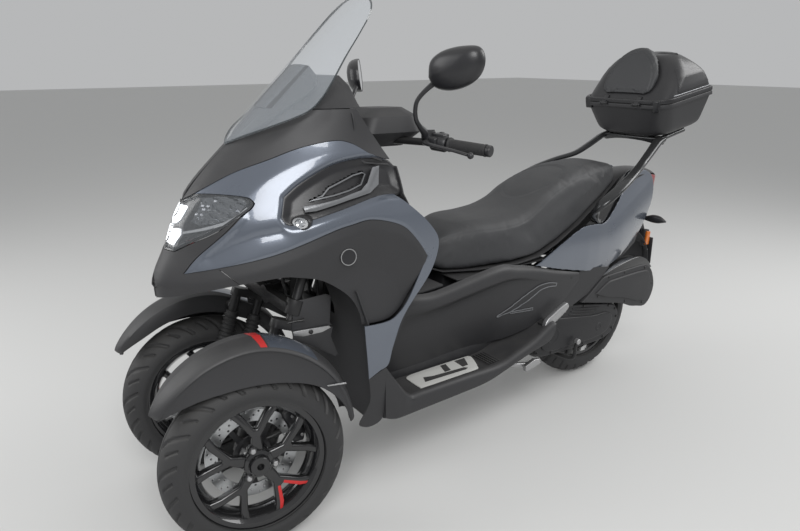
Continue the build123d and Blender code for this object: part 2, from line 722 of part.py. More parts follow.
def floor_form(grow):
    """Left floorboard with its inner lip, or the room it takes with a gap all round."""
    with BuildPart() as form:
        for outline, near, far in ((FLOOR_OUTLINE, FLOOR_INNER, FLOOR_OUTER),
                                   (FLOOR_LIP_OUTLINE, FLOOR_INNER, FLOOR_INNER + FLOOR_LIP)):
            with BuildSketch(Plane.XZ.offset(-(near - grow))):
                with BuildLine():
                    Polyline(*outline, close=True)
                make_face()
                if grow > 0:
                    offset(amount=grow, kind=Kind.INTERSECTION, mode=Mode.REPLACE)
            extrude(amount=-(far - near + 2 * grow))
    return form.part


floor_left = floor_form(0)
save(with_mirror(floor_left), "floorboards")

cover_left = skin(COVER_SECTIONS, PANEL) - floor_form(SEAT_GAP)
save(with_mirror(cover_left), "body_covers")

with BuildPart() as foot_mats:
    with Locations((270, 185, FLOOR_TOP + 2), (270, -185, FLOOR_TOP + 2)):
        Box(240, 96, 4)
save(foot_mats.part, "foot_mats")

save(side_plate([(520, 247.7), (490, 172), (60, 160), (-40, 247.7)], -84, 84), "belly_pan")

# Tunnel cover between the rider's feet, open underneath, with two hinge lugs for the fuel lid
TUNNEL_TOP_HALF = 178.0
LID_PIVOT_X = 303.0
LID_PIVOT_Z = 625.0
LID_PIN_R = 2.5
with BuildPart() as tunnel_cover:
    add(side_plate([(475.4, 600), (472.6, 606), (262, 620), (262, 614)], -TUNNEL_TOP_HALF, TUNNEL_TOP_HALF))
    for wall_y in (-TUNNEL_HALF + SEAT_GAP, TUNNEL_HALF - PANEL - SEAT_GAP):
        add(side_plate([(470, 602), (262, 616), (262, 402), (520, 402), (520, 520)], wall_y, wall_y + PANEL))
    for lug_y in (50, -54):
        with BuildSketch(Plane.XZ.offset(-lug_y)):
            with Locations((LID_PIVOT_X, LID_PIVOT_Z - 4)):
                Rectangle(10, 12)
            with Locations((LID_PIVOT_X, LID_PIVOT_Z)):
                Circle(5)
        extrude(amount=-4)
    with BuildSketch(Plane.XZ.offset(54)):
        with Locations((LID_PIVOT_X, LID_PIVOT_Z)):
            Circle(LID_PIN_R)
    extrude(amount=-108)
save(tunnel_cover.part, "tunnel_cover")

# Fuel lid on the tunnel cover
with BuildPart() as fuel_lid:
    add(side_plate([(420, 610.2), (310, 618.2), (310, 623.2), (420, 615.2)], -60, 60))
    with BuildSketch(Plane.XZ.offset(44)):
        with BuildLine():
            Polyline((LID_PIVOT_X, LID_PIVOT_Z + 5), (LID_PIVOT_X, LID_PIVOT_Z), (311, 618.4), (311, 623), close=True)
        make_face()
        with Locations((LID_PIVOT_X, LID_PIVOT_Z)):
            Circle(5)
    extrude(amount=-88)
    with BuildSketch(Plane.XZ.offset(44)):
        with Locations((LID_PIVOT_X, LID_PIVOT_Z)):
            Circle(LID_PIN_R + AXLE_GAP)
    extrude(amount=-88, mode=Mode.SUBTRACT)
save(fuel_lid.part, "fuel_lid")

# Seat
SEAT_SECTIONS = [
    (262, 55, 655, 35, 705),
    (200, 105, 634, 72, 770),
    (80, 155, 632, 118, 797),
    (-80, 178, 630, 140, 802),
    (-190, 180, 640, 132, 830),
    (-290, 174, 672, 120, 885),
    (-420, 160, 725, 118, 922),
    (-600, 120, 800, 95, 938),
    (-730, 90, 860, 60, 925),
]
with BuildPart() as seat:
    for x, low_half, low, top_half, top in SEAT_SECTIONS:
        with BuildSketch(Plane.YZ.offset(x)):
            with BuildLine():
                Polyline((-low_half, low), (low_half, low), (low_half, (low + top) / 2),
                         (top_half, top), (-top_half, top), (-low_half, (low + top) / 2), close=True)
            make_face()
    loft(ruled=True)
save(seat.part, "seat")

# Rigid pan under the cushion, with the hinge eye at its front
PAN_T = 5.0
with BuildPart() as seat_pan:
    for x, low_half, low, top_half, top in SEAT_SECTIONS:
        with BuildSketch(Plane.YZ.offset(x)):
            with Locations((0, low - SEAT_GAP - PAN_T / 2)):
                Rectangle(2 * low_half - 12, PAN_T)
    loft(ruled=True)
    with BuildSketch(Plane.XZ.offset(40)):
        with Locations((SEAT_PIVOT_X, SEAT_PIVOT_Z)):
            Circle(8)
        with BuildLine():
            Polyline((SEAT_PIVOT_X - 6, SEAT_PIVOT_Z + 5), (SEAT_PIVOT_X + 6, SEAT_PIVOT_Z + 5), (262, 653),
                     (250, 650), close=True)
        make_face()
    extrude(amount=-80)
    with BuildSketch(Plane.XZ.offset(40)):
        with Locations((SEAT_PIVOT_X, SEAT_PIVOT_Z)):
            Circle(SEAT_PIN_R + AXLE_GAP)
    extrude(amount=-80, mode=Mode.SUBTRACT)
save(seat_pan.part, "seat_pan")

# Storage tub under the seat
TUB_WALL = 4.0
TUB_TOP = 618.0
TUB_BOTTOM = 440.0
TUB_X = -28.35
TUB_L = 416.7
TUB_HALF = 76.0
with BuildPart() as storage_tub:
    with Locations((TUB_X, 0, (TUB_TOP + TUB_BOTTOM) / 2)):
        Box(TUB_L, 2 * TUB_HALF, TUB_TOP - TUB_BOTTOM)
    with Locations((TUB_X, 0, TUB_TOP - 2)):
        Box(TUB_L + 20, 330, 4)
    with Locations((TUB_X, 0, (TUB_TOP + TUB_BOTTOM) / 2 + TUB_WALL)):
        Box(TUB_L - 2 * TUB_WALL, 2 * TUB_HALF - 2 * TUB_WALL, TUB_TOP - TUB_BOTTOM, mode=Mode.SUBTRACT)
    add(frame.part, mode=Mode.SUBTRACT)
save(storage_tub.part, "storage_tub")

# Engine, drive case, air box, muffler, shocks
CASE_NEAR = 78.0
CASE_FAR = 160.0
ENGINE_HALF = 74.0
ENGINE_L = 260.0
STAND_PIVOT_X = -300.0
STAND_PIVOT_Z = 196.0
STAND_BAR_R = 10.0
with BuildPart() as engine:
    with Locations((ENGINE_FRONT - ENGINE_L / 2, 0, 300)):
        Box(ENGINE_L, 2 * ENGINE_HALF, 150)
    with Locations((-290, 0, 305)):
        Box(100, 2 * (CASE_NEAR - SEAT_GAP), 120)
    for y in (-56, 40):
        with BuildSketch(Plane.XZ.offset(-y)):
            with Locations((STAND_PIVOT_X, STAND_PIVOT_Z + 12)):
                Rectangle(40, 40)
            with Locations((STAND_PIVOT_X, STAND_PIVOT_Z)):
                Circle(20)
                Circle(STAND_BAR_R + AXLE_GAP, mode=Mode.SUBTRACT)
        extrude(amount=-16)
save(engine.part, "engine")

with BuildPart() as cvt_case:
    with BuildSketch(Plane.XZ.offset(-CASE_NEAR)):
        with BuildLine():
            Polyline((-225, 390), (-205, 240), (-240, 205), (-640, 190), (-700, 215), (-720, 290),
                     (-680, 350), (-420, 402), close=True)
        make_face()
    extrude(amount=-(CASE_FAR - CASE_NEAR))
    with BuildSketch(Plane.XZ.offset(CASE_NEAR)):
        with Locations((REAR_AXLE_X, REAR_TYRE_R)):
            Circle(AXLE_R)
    extrude(amount=-2 * CASE_NEAR)
save(cvt_case.part, "cvt_case")

with BuildPart() as air_box:
    add(side_plate([(-440, 402), (-540, 470), (-600, 490), (-850, 495), (-896, 446), (-916, 373),
                    (-860, 300), (-760, 320), (-680, 350.4), (-420, 402.4)], 140, 190))
save(air_box.part, "air_box")

with BuildPart() as muffler:
    with BuildSketch(Plane(origin=(-350, -204, 262), z_dir=(-1, -0.02, 0.2))):
        Circle(62)
    extrude(amount=540)
    add(rods([((-200, -110, 205), (-356, -196, 262), 18), ((-200, -110, 205), (-140, -70, 222), 18)]))
    add(engine.part, mode=Mode.SUBTRACT)
save(muffler.part, "muffler")

with BuildPart() as swing_arm:
    add(side_plate([(-300, 330), (-300, 270), (-620, 250), (-665, 262), (-665, 292), (-620, 305)],
                   -112, -CASE_NEAR))
    add(rods([((-520, -112, 285), (-520, -142, 292), 10)]))
    add(muffler.part, mode=Mode.SUBTRACT)
save(swing_arm.part, "swing_arm")

with BuildPart() as rear_shocks:
    add(rods(both_sides([((-600, 102, 300), (-510, 100, 655), 20)])))
    add(cvt_case.part, mode=Mode.SUBTRACT)
    add(swing_arm.part, mode=Mode.SUBTRACT)
    add(frame.part, mode=Mode.SUBTRACT)
save(rear_shocks.part, "rear_shocks")

# Tail
TAIL_OUTLINE = [(-146, 612), (-277, 689), (-450, 724), (-540, 695), (-694, 762), (-800, 830),
                (-915, 876), (-963, 806), (-948, 700), (-886, 600), (-748, 540), (-595, 505),
                (-490, 520), (-294, 567)]
tail_rows = [
    (-120, 192, 480, 190, 600, 186, 760),
    (-450, 186, 480, 184, 600, 178, 900),
    (-700, 150, 480, 148, 650, 140, 900),
    (-980, 90, 480, 88, 700, 84, 900),
]
with BuildPart() as tail_left:
    add(skin(tail_rows, PANEL))
    with BuildSketch(Plane.XZ):
        with BuildLine():
            Polyline(*TAIL_OUTLINE, close=True)
        make_face()
    extrude(amount=400, both=True, mode=Mode.INTERSECT)
save(with_mirror(tail_left.part), "tail_cowls")

with BuildPart() as tail_lamp:
    add(side_plate([(-910, 862), (-990, 845), (-975, 760), (-910, 735)], -120, 120))
    with BuildSketch(Plane.XY.offset(700)):
        with BuildLine():
            Polyline((-900, -96.7), (-990, -78.4), (-990, 78.4), (-900, 96.7), close=True)
        make_face()
    extrude(amount=200, mode=Mode.INTERSECT)
save(tail_lamp.part, "tail_lamp")

PLATE_X = -1020.0
PLATE_Z = 500.0
PLATE_HOLES = 120.0
with BuildPart() as plate_holder:
    add(side_plate([(-880, 734.6), (-909.5, 734.6), (-930, 742.3), (-1000, 600), (PLATE_X + 2, 560), (PLATE_X + 2, 440),
                    (-1008, 440), (-980, 590)], -45, 45))
    with Locations((PLATE_X + 2, 0, PLATE_Z)):
        Box(4, PLATE_HOLES + 44, 120)
    with BuildSketch(Plane.YZ.offset(PLATE_X - 5)):
        with Locations((-PLATE_HOLES / 2, PLATE_Z), (PLATE_HOLES / 2, PLATE_Z)):
            Circle(3.25)
    extrude(amount=12, mode=Mode.SUBTRACT)
save(plate_holder.part, "plate_holder")

rear_indicators = rods(both_sides([((-958, 48, 655), (-975, 150, 655), 8)])) - plate_holder.part
save(Compound([with_mirror(indicators.part), rear_indicators]), "indicators")

# Grab rails, carrier and top box. The box stands on a sloping carrier, so its forms are drawn level
# and then tilted about the front end of the seam between base and lid.
BOX_FRONT = -806.0
BOX_SEAM_Z = 1150.0
BOX_LENGTH = 419.0
BOX_HALF = 203.0
BOX_DEPTH = 142.0
BOX_TILT = 8.5
BOX_CORNER = 64.0
BOX_REAR_BOW = 79.0
BOX_WALL = 4.0
LID_GAP = 0.6
RAIL_R = 12.0
CARRIER_Z = BOX_SEAM_Z - BOX_DEPTH - RAIL_R


def tilted(shape):
    """A form of the top box or its carrier, turned from level to its slope."""
    return shape.rotate(Axis((BOX_FRONT, 0, BOX_SEAM_Z), (0, 1, 0)), BOX_TILT)


def box_form(rows, inset):
    """Closed form of the top box between outlines: height over the seam, front, rear, half width."""
    slant = cos(radians(45))
    with BuildPart() as form:
        for height, front, rear, half in rows:
            nose = BOX_FRONT + front - inset
            tail = BOX_FRONT + rear + inset
            side = half - inset
            corner = BOX_CORNER - inset
            bow = tail + BOX_REAR_BOW
            with BuildSketch(Plane.XY.offset(BOX_SEAM_Z + height)):
                with BuildLine():
                    Line((nose, corner - side), (nose, side - corner))
                    ThreePointArc((nose, side - corner),
                                  (nose - corner * (1 - slant), side - corner * (1 - slant)),
                                  (nose - corner, side))
                    Line((nose - corner, side), (bow, side * 0.94))
                    ThreePointArc((bow, side * 0.94), (tail, 0), (bow, -side * 0.94))
                    Line((bow, -side * 0.94), (nose - corner, -side))
                    ThreePointArc((nose - corner, -side),
                                  (nose - corner * (1 - slant), corner * (1 - slant) - side),
                                  (nose, corner - side))
                make_face()
        loft(ruled=True)
    return form.part


rail_path = [(-560, 92, 690), (-560, 120, 700), (-540, 150, 714), (-470, 178, 748), (-438, 226, 800),
             (-520, 246, 850), (-640, 216, 898), (-760, 170, 932), (-898, 138, 1008)]
with BuildPart() as grab_rails:
    add(rods(both_sides([(a, b, RAIL_R) for a, b in zip(rail_path, rail_path[1:])])))
    add(tilted(rods(both_sides([
        ((BOX_FRONT - 70, 138, CARRIER_Z), (BOX_FRONT - 250, 118, CARRIER_Z), RAIL_R),
    ]) + [
        ((BOX_FRONT - 70, -138, CARRIER_Z), (BOX_FRONT - 70, 138, CARRIER_Z), RAIL_R),
        ((BOX_FRONT - 250, -118, CARRIER_Z), (BOX_FRONT - 250, 118, CARRIER_Z), RAIL_R),
    ])))
    add(tilted(Box(200, 180, 8, mode=Mode.PRIVATE).locate(
        Location((BOX_FRONT - 164, 0, BOX_SEAM_Z - BOX_DEPTH - 4)))))
    add(frame.part, mode=Mode.SUBTRACT)
save(grab_rails.part, "grab_rails")

base_rows = [(-BOX_DEPTH, -60, -330, 138), (-118, -38, -372, 176), (0, 0, -BOX_LENGTH, BOX_HALF)]
lid_rows = [(LID_GAP, 0, -BOX_LENGTH, BOX_HALF), (88, -85, -372, 192), (130, -108, -325, 168),
            (168, -140, -275, 122)]
base_inner = [(BOX_WALL - BOX_DEPTH, -60, -330, 138)] + base_rows[1:]
lid_inner = lid_rows[:-1] + [(168 - BOX_WALL, -140, -275, 122)]
HINGE_X = BOX_FRONT + 8
HINGE_Z = BOX_SEAM_Z
HINGE_PIN_R = 3.0
HINGE_YS = (-80, 80)
with BuildPart() as top_box_base:
    add(box_form(base_rows, 0) - box_form(base_inner, BOX_WALL))
    for hinge_y in HINGE_YS:
        for lug_y in (hinge_y - 18, hinge_y + 12):
            with BuildSketch(Plane.XZ.offset(-lug_y)):
                with BuildLine():
                    Polyline((HINGE_X - 18, HINGE_Z - 26), (HINGE_X + 5, HINGE_Z - 2), (HINGE_X, HINGE_Z + 5),
                             (HINGE_X - 5, HINGE_Z), (HINGE_X - 10, HINGE_Z - 3), close=True)
                make_face()
                with Locations((HINGE_X, HINGE_Z)):
                    Circle(5.5)
            extrude(amount=-6)
        with BuildSketch(Plane.XZ.offset(-(hinge_y - 18))):
            with Locations((HINGE_X, HINGE_Z)):
                Circle(HINGE_PIN_R)
        extrude(amount=-36)
save(tilted(top_box_base.part), "top_box_base")

with BuildPart() as top_box_lid:
    add(box_form(lid_rows, 0) - box_form(lid_inner, BOX_WALL))
    for hinge_y in HINGE_YS:
        with BuildSketch(Plane.XZ.offset(-(hinge_y - 11))):
            with BuildLine():
                Polyline((HINGE_X - 34, HINGE_Z + 26), (HINGE_X + 5, HINGE_Z + 2), (HINGE_X, HINGE_Z - 5),
                         (HINGE_X - 5, HINGE_Z + 1), (HINGE_X - 12, HINGE_Z + 4), close=True)
            make_face()
            with Locations((HINGE_X, HINGE_Z)):
                Circle(5.5)
        extrude(amount=-22)
        with BuildSketch(Plane.XZ.offset(-(hinge_y - 12))):
            with Locations((HINGE_X, HINGE_Z)):
                Circle(HINGE_PIN_R + AXLE_GAP)
        extrude(amount=-24, mode=Mode.SUBTRACT)
        for lug_y in (hinge_y - 19, hinge_y + 11):
            with Locations((HINGE_X, lug_y + 4, HINGE_Z)):
                Box(18, 8, 18, mode=Mode.SUBTRACT)
save(tilted(top_box_lid.part), "top_box_lid")

# Backrest pad: its outline in side view, measured from the front end of the seam
PAD_HALF = 126.0
PAD_OUTLINE = [(-16, 30), (-52, 88), (-92, 150), (-122, 192), (-142, 205), (-200, 200), (-200, 160), (-60, 30)]
with BuildPart() as backrest_pad:
    add(side_plate([(BOX_FRONT + x, BOX_SEAM_Z + z) for x, z in PAD_OUTLINE], -PAD_HALF, PAD_HALF))
    add(box_form(lid_rows, -SEAT_GAP), mode=Mode.SUBTRACT)
save(tilted(backrest_pad.part), "backrest_pad")

# Passenger pegs
with BuildPart() as passenger_pegs:
    add(rods([((-205, 225, 340), (-290, 238, 440), 11)]))
    add(floor_left, mode=Mode.SUBTRACT)
save(with_mirror(passenger_pegs.part), "passenger_pegs")

# Stands
with BuildPart() as side_stand:
    with BuildSketch(Plane.XZ.offset(-SIDE_STAND_Y)):
        with Locations((SIDE_PIVOT_X, SIDE_PIVOT_Z)):
            Circle(16)
    extrude(amount=-14)
    add(rods([((SIDE_PIVOT_X - 10, SIDE_STAND_Y + 9, SIDE_PIVOT_Z - 2), (-200, 170, 200), 9)]))
    with BuildSketch(Plane.XZ.offset(-(SIDE_STAND_Y - 10))):
        with Locations((SIDE_PIVOT_X, SIDE_PIVOT_Z)):
            Circle(SIDE_PIN_R + AXLE_GAP)
    extrude(amount=-60, mode=Mode.SUBTRACT)
save(side_stand.part, "side_stand")

stand_side = [
    ((STAND_PIVOT_X, 40, STAND_PIVOT_Z), (STAND_PIVOT_X, 70, STAND_PIVOT_Z), STAND_BAR_R),
    ((STAND_PIVOT_X, 70, STAND_PIVOT_Z), (-360, 78, 176), STAND_BAR_R),
    ((-360, 78, 176), (-480, 98, 160), STAND_BAR_R),
]
save(rods(both_sides(stand_side) + [
    ((STAND_PIVOT_X, -40, STAND_PIVOT_Z), (STAND_PIVOT_X, 40, STAND_PIVOT_Z), STAND_BAR_R),
    ((-345, -75, 181), (-345, 75, 181), 8),
    ((-400, 86, 170), (-425, 178, 168), 7),
    ((-425, 178, 168), (-432, 184, 236), 7),
]), "centre_stand")

with BuildPart() as radiator:
    with Locations((645, 0, 560)):
        Box(28, 110, 100)
    add(rods(both_sides([((645, 30, 604), (650, 27, 700), 5)])))
    add(frame.part, mode=Mode.SUBTRACT)
save(radiator.part, "radiator")
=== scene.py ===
# %% [markdown]
# # A leaning three-wheeled scooter
# The solids of the scooter come from its CAD model. This lesson gives them paint, plastic, rubber
# and metal, and models the pieces that CAD leaves plain: tread, lamps, levers, seat and trim.
# Everything is in metres, X forward, Y to the rider's left and Z up. Long tables of lengths are
# written in millimetres, and the helper mm turns them into metres.

# %% Load the frame
import bpy
import bmesh
import json
from math import atan2, copysign, cos, hypot, pi, radians, sin
from mathutils import Matrix, Vector


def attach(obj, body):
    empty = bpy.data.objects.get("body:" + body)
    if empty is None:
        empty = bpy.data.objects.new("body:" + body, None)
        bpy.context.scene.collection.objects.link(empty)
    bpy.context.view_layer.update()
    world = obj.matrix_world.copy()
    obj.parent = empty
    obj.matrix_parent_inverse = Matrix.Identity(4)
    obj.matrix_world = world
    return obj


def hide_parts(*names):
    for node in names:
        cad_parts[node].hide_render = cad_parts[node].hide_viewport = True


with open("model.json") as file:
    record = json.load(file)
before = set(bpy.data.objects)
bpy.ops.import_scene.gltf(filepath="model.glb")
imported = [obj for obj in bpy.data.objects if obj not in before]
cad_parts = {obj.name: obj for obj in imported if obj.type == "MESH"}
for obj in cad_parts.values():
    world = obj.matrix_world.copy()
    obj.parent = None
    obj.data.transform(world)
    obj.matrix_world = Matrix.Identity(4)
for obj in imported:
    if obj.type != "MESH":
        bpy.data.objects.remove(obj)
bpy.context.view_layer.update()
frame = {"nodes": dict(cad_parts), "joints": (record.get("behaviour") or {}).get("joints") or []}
bpy.ops.object.select_all(action="DESELECT")
nodes = frame["nodes"]

# %% [markdown]
# ## Surface effects that several materials share
# Moulded plastic, paint and rubber are never one flat value. Three small node groups give the
# slow change of tone, the fine grain and the dust that lies on upward faces. They only put out
# masks and heights, and each material decides how strongly it uses them.

# %% Node helpers
def effect_group(name, inputs, outputs):
    """An empty shader group with named float inputs and outputs."""
    group = bpy.data.node_groups.new(name, "ShaderNodeTree")
    for label, value in inputs:
        made = group.interface.new_socket(label, in_out="INPUT", socket_type="NodeSocketFloat")
        made.default_value = value
    for label in outputs:
        group.interface.new_socket(label, in_out="OUTPUT", socket_type="NodeSocketFloat")
    return group, group.nodes.new("NodeGroupInput"), group.nodes.new("NodeGroupOutput")


def scaled_coordinates(group, entry, socket_name):
    """Object coordinates multiplied by a group input."""
    place = group.nodes.new("ShaderNodeTexCoord")
    grow = group.nodes.new("ShaderNodeVectorMath")
    grow.operation = "SCALE"
    group.links.new(place.outputs["Object"], grow.inputs[0])
    group.links.new(entry.outputs[socket_name], grow.inputs["Scale"])
    return grow.outputs[0]


# %% Soft change of tone
mottle, entry, leave = effect_group("slow_mottle", [("Scale", 6.0)], ["Mask"])
spots = mottle.nodes.new("ShaderNodeTexNoise")
spots.inputs["Scale"].default_value = 1.0
spots.inputs["Detail"].default_value = 4.0
mottle.links.new(scaled_coordinates(mottle, entry, "Scale"), spots.inputs["Vector"])
mottle.links.new(spots.outputs["Fac"], leave.inputs["Mask"])

# %% Fine moulded grain
grain, entry, leave = effect_group("moulded_grain", [("Scale", 900.0)], ["Height"])
cells = grain.nodes.new("ShaderNodeTexVoronoi")
cells.inputs["Scale"].default_value = 1.0
grain.links.new(scaled_coordinates(grain, entry, "Scale"), cells.inputs["Vector"])
grain.links.new(cells.outputs["Distance"], leave.inputs["Height"])

# %% Dust on faces that look up
dust, entry, leave = effect_group("dust_on_top", [("Scale", 14.0), ("Amount", 0.25)], ["Mask"])
facing = dust.nodes.new("ShaderNodeNewGeometry")
split = dust.nodes.new("ShaderNodeSeparateXYZ")
lift = dust.nodes.new("ShaderNodeMapRange")
lift.inputs["From Min"].default_value = 0.2
cloud = dust.nodes.new("ShaderNodeTexNoise")
cloud.inputs["Scale"].default_value = 1.0
cloud.inputs["Detail"].default_value = 6.0
both = dust.nodes.new("ShaderNodeMath")
both.operation = "MULTIPLY"
weight = dust.nodes.new("ShaderNodeMath")
weight.operation = "MULTIPLY"
dust.links.new(facing.outputs["Normal"], split.inputs[0])
dust.links.new(split.outputs["Z"], lift.inputs["Value"])
dust.links.new(scaled_coordinates(dust, entry, "Scale"), cloud.inputs["Vector"])
dust.links.new(lift.outputs["Result"], both.inputs[0])
dust.links.new(cloud.outputs["Fac"], both.inputs[1])
dust.links.new(both.outputs[0], weight.inputs[0])
dust.links.new(entry.outputs["Amount"], weight.inputs[1])
dust.links.new(weight.outputs[0], leave.inputs["Mask"])
print("groups", [g.name for g in bpy.data.node_groups])

# %% [markdown]
# ## One recipe for the opaque finishes
# Paint, plastic, rubber and metal differ in colour, roughness, metallic weight and grain. One
# helper wires the shared groups to a Principled shader, and each finish is one call with its own
# numbers. Plain numbers stay on the shader itself.

# %% Steps that every finish shares
def new_material(name):
    """A material with its node tree and its shader."""
    made = bpy.data.materials.new(name)
    made.use_nodes = True
    return made, made.node_tree, made.node_tree.nodes["Principled BSDF"]


def two_tones(tree, scale, darker, lighter):
    """Two colours mixed by the slow mottle: the sockets of the mask and of the colour."""
    tone = tree.nodes.new("ShaderNodeGroup")
    tone.node_tree = mottle
    tone.inputs["Scale"].default_value = scale
    mix = tree.nodes.new("ShaderNodeMix")
    mix.data_type = "RGBA"
    mix.inputs[6].default_value = (*darker, 1)
    mix.inputs[7].default_value = (*lighter, 1)
    tree.links.new(tone.outputs["Mask"], mix.inputs[0])
    return tone.outputs["Mask"], mix.outputs[2]


def rough_between(tree, mask, low, high, shader):
    """Let the roughness follow the mask between two values."""
    swing = tree.nodes.new("ShaderNodeMapRange")
    swing.inputs["To Min"].default_value = low
    swing.inputs["To Max"].default_value = high
    tree.links.new(mask, swing.inputs["Value"])
    tree.links.new(swing.outputs["Result"], shader.inputs["Roughness"])


# %% Opaque finish helper
def finish(name, colour, darker, rough, metal=0.0, coat=0.0, grain_scale=900.0, bump=0.05, dust_amount=0.12,
        tone_scale=6.0, rough_swing=0.08):
    """An opaque material: two tones, grain, dust and a change of roughness."""
    made, tree, shader = new_material(name)
    shader.inputs["Metallic"].default_value = metal
    shader.inputs["Coat Weight"].default_value = coat
    shader.inputs["Coat Roughness"].default_value = 0.04
    mask, base = two_tones(tree, tone_scale, darker, colour)
    settle = tree.nodes.new("ShaderNodeGroup")
    settle.node_tree = dust
    settle.inputs["Amount"].default_value = dust_amount
    over = tree.nodes.new("ShaderNodeMix")
    over.data_type = "RGBA"
    over.inputs[7].default_value = (0.33, 0.32, 0.3, 1)
    tree.links.new(settle.outputs["Mask"], over.inputs[0])
    tree.links.new(base, over.inputs[6])
    tree.links.new(over.outputs[2], shader.inputs["Base Color"])
    rough_between(tree, mask, max(0.02, rough - rough_swing), rough + rough_swing, shader)
    if bump > 0:
        fine = tree.nodes.new("ShaderNodeGroup")
        fine.node_tree = grain
        fine.inputs["Scale"].default_value = grain_scale
        raise_up = tree.nodes.new("ShaderNodeBump")
        raise_up.inputs["Strength"].default_value = bump
        raise_up.inputs["Distance"].default_value = 0.0006
        tree.links.new(fine.outputs["Height"], raise_up.inputs["Height"])
        tree.links.new(raise_up.outputs["Normal"], shader.inputs["Normal"])
    return made


# %% Paint, plastics, rubber and metals
paint = finish("slate_paint", (0.128, 0.146, 0.18), (0.108, 0.124, 0.154), 0.28, metal=0.45, coat=1.0,
    grain_scale=2500.0, bump=0.02, dust_amount=0.03, rough_swing=0.03)
matte_black = finish("matte_black_plastic", (0.028, 0.028, 0.03), (0.022, 0.022, 0.024), 0.52,
    grain_scale=1400.0, bump=0.12)
satin_black = finish("satin_black_plastic", (0.02, 0.02, 0.022), (0.014, 0.014, 0.016), 0.34,
    grain_scale=1200.0, bump=0.05)
gloss_black = finish("gloss_black", (0.012, 0.012, 0.013), (0.008, 0.008, 0.009), 0.16, coat=0.6, bump=0.0,
    dust_amount=0.05, rough_swing=0.04)
black_steel = finish("black_painted_steel", (0.022, 0.022, 0.023), (0.014, 0.014, 0.015), 0.38, metal=0.2,
    grain_scale=700.0, bump=0.08)
wheel_black = finish("wheel_black_enamel", (0.013, 0.013, 0.015), (0.009, 0.009, 0.01), 0.2, metal=0.3,
    coat=0.8, bump=0.0, dust_amount=0.06, rough_swing=0.04)
tyre_rubber = finish("tyre_rubber", (0.03, 0.03, 0.031), (0.02, 0.02, 0.021), 0.68, grain_scale=600.0,
    bump=0.2, dust_amount=0.2)
soft_rubber = finish("soft_rubber", (0.024, 0.024, 0.025), (0.016, 0.016, 0.017), 0.62, grain_scale=1000.0,
    bump=0.2)
disc_steel = finish("ground_steel", (0.52, 0.53, 0.54), (0.4, 0.41, 0.42), 0.3, metal=1.0,
    grain_scale=2600.0, bump=0.05, dust_amount=0.05)
cast_alloy = finish("cast_alloy", (0.5, 0.5, 0.5), (0.38, 0.38, 0.39), 0.42, metal=0.9, grain_scale=800.0,
    bump=0.18)
grey_satin = finish("grey_satin_plastic", (0.215, 0.22, 0.23), (0.175, 0.18, 0.188), 0.32, metal=0.5,
    grain_scale=1200.0, bump=0.05)
rail_satin = finish("satin_cast_rail", (0.04, 0.041, 0.043), (0.028, 0.029, 0.031), 0.27, metal=0.55,
    coat=0.3, grain_scale=900.0, bump=0.05)
engine_grey = finish("coated_casting", (0.024, 0.024, 0.026), (0.016, 0.016, 0.018), 0.4, metal=0.3,
    grain_scale=700.0, bump=0.22)
vinyl = finish("seat_vinyl", (0.04, 0.041, 0.044), (0.028, 0.029, 0.031), 0.56, grain_scale=420.0,
    bump=0.45, dust_amount=0.1)
mat_pale = finish("pale_foot_mat", (0.56, 0.56, 0.54), (0.46, 0.46, 0.44), 0.6, grain_scale=500.0, bump=0.3)
red_lens = finish("red_lens", (0.32, 0.008, 0.008), (0.22, 0.005, 0.005), 0.14, coat=0.8, bump=0.0)
red_stripe = finish("red_stripe", (0.55, 0.02, 0.02), (0.45, 0.015, 0.015), 0.32, bump=0.0)
amber_lens = finish("amber_lens", (0.62, 0.16, 0.01), (0.5, 0.12, 0.01), 0.16, coat=0.8, bump=0.0)
chrome = finish("bright_reflector", (0.82, 0.83, 0.85), (0.7, 0.71, 0.73), 0.08, metal=1.0, bump=0.0,
    dust_amount=0.0, rough_swing=0.03)
smoked_chrome = finish("smoked_reflector", (0.3, 0.31, 0.33), (0.16, 0.165, 0.175), 0.12, metal=1.0,
    bump=0.0, dust_amount=0.0, tone_scale=40.0, rough_swing=0.05)
print("materials", len(bpy.data.materials))

# %% [markdown]
# ## Clear sheets and the lit lamp
# Clear plastic is never spotless: wiping leaves hazy areas that change how sharply it mirrors. The
# same slow mottle moves the tint and the roughness of each clear sheet a little. The lit elements of
# the headlamp glow unevenly, so their light is mixed from two whites.

# %% Clear materials
def clear_finish(name, tint, alpha, rough):
    """A thin clear sheet: mostly see-through, with a sharp gloss and a little haze."""
    made, tree, shader = new_material(name)
    shader.inputs["Alpha"].default_value = alpha
    shader.inputs["Specular IOR Level"].default_value = 0.6
    shader.inputs["Coat Weight"].default_value = 0.5
    mask, tone = two_tones(tree, 5.0, [0.93 * value for value in tint], tint)
    tree.links.new(tone, shader.inputs["Base Color"])
    rough_between(tree, mask, rough, rough + 0.03, shader)
    return made


screen_clear = clear_finish("screen_polycarbonate", (0.5, 0.54, 0.58), 0.22, 0.04)
screen_rim = clear_finish("screen_edge_tint", (0.05, 0.06, 0.065), 0.72, 0.11)
lens_clear = clear_finish("clear_lens", (0.3, 0.32, 0.34), 0.12, 0.03)
lamp_white, lamp_tree, lamp_shader = new_material("daylight_lamp")
lit_mask, lit_colour = two_tones(lamp_tree, 60.0, (0.84, 0.91, 1.0), (1.0, 1.0, 1.0))
lamp_tree.links.new(lit_colour, lamp_shader.inputs["Base Color"])
lamp_tree.links.new(lit_colour, lamp_shader.inputs["Emission Color"])
lamp_shader.inputs["Emission Strength"].default_value = 1.6
rough_between(lamp_tree, lit_mask, 0.3, 0.5, lamp_shader)
print("materials", len(bpy.data.materials))

# %% [markdown]
# ## Finishes for the solids that keep their shape
# A CAD solid whose form is right only needs its material slots filled. The table pairs each
# finish with the names of its solids.

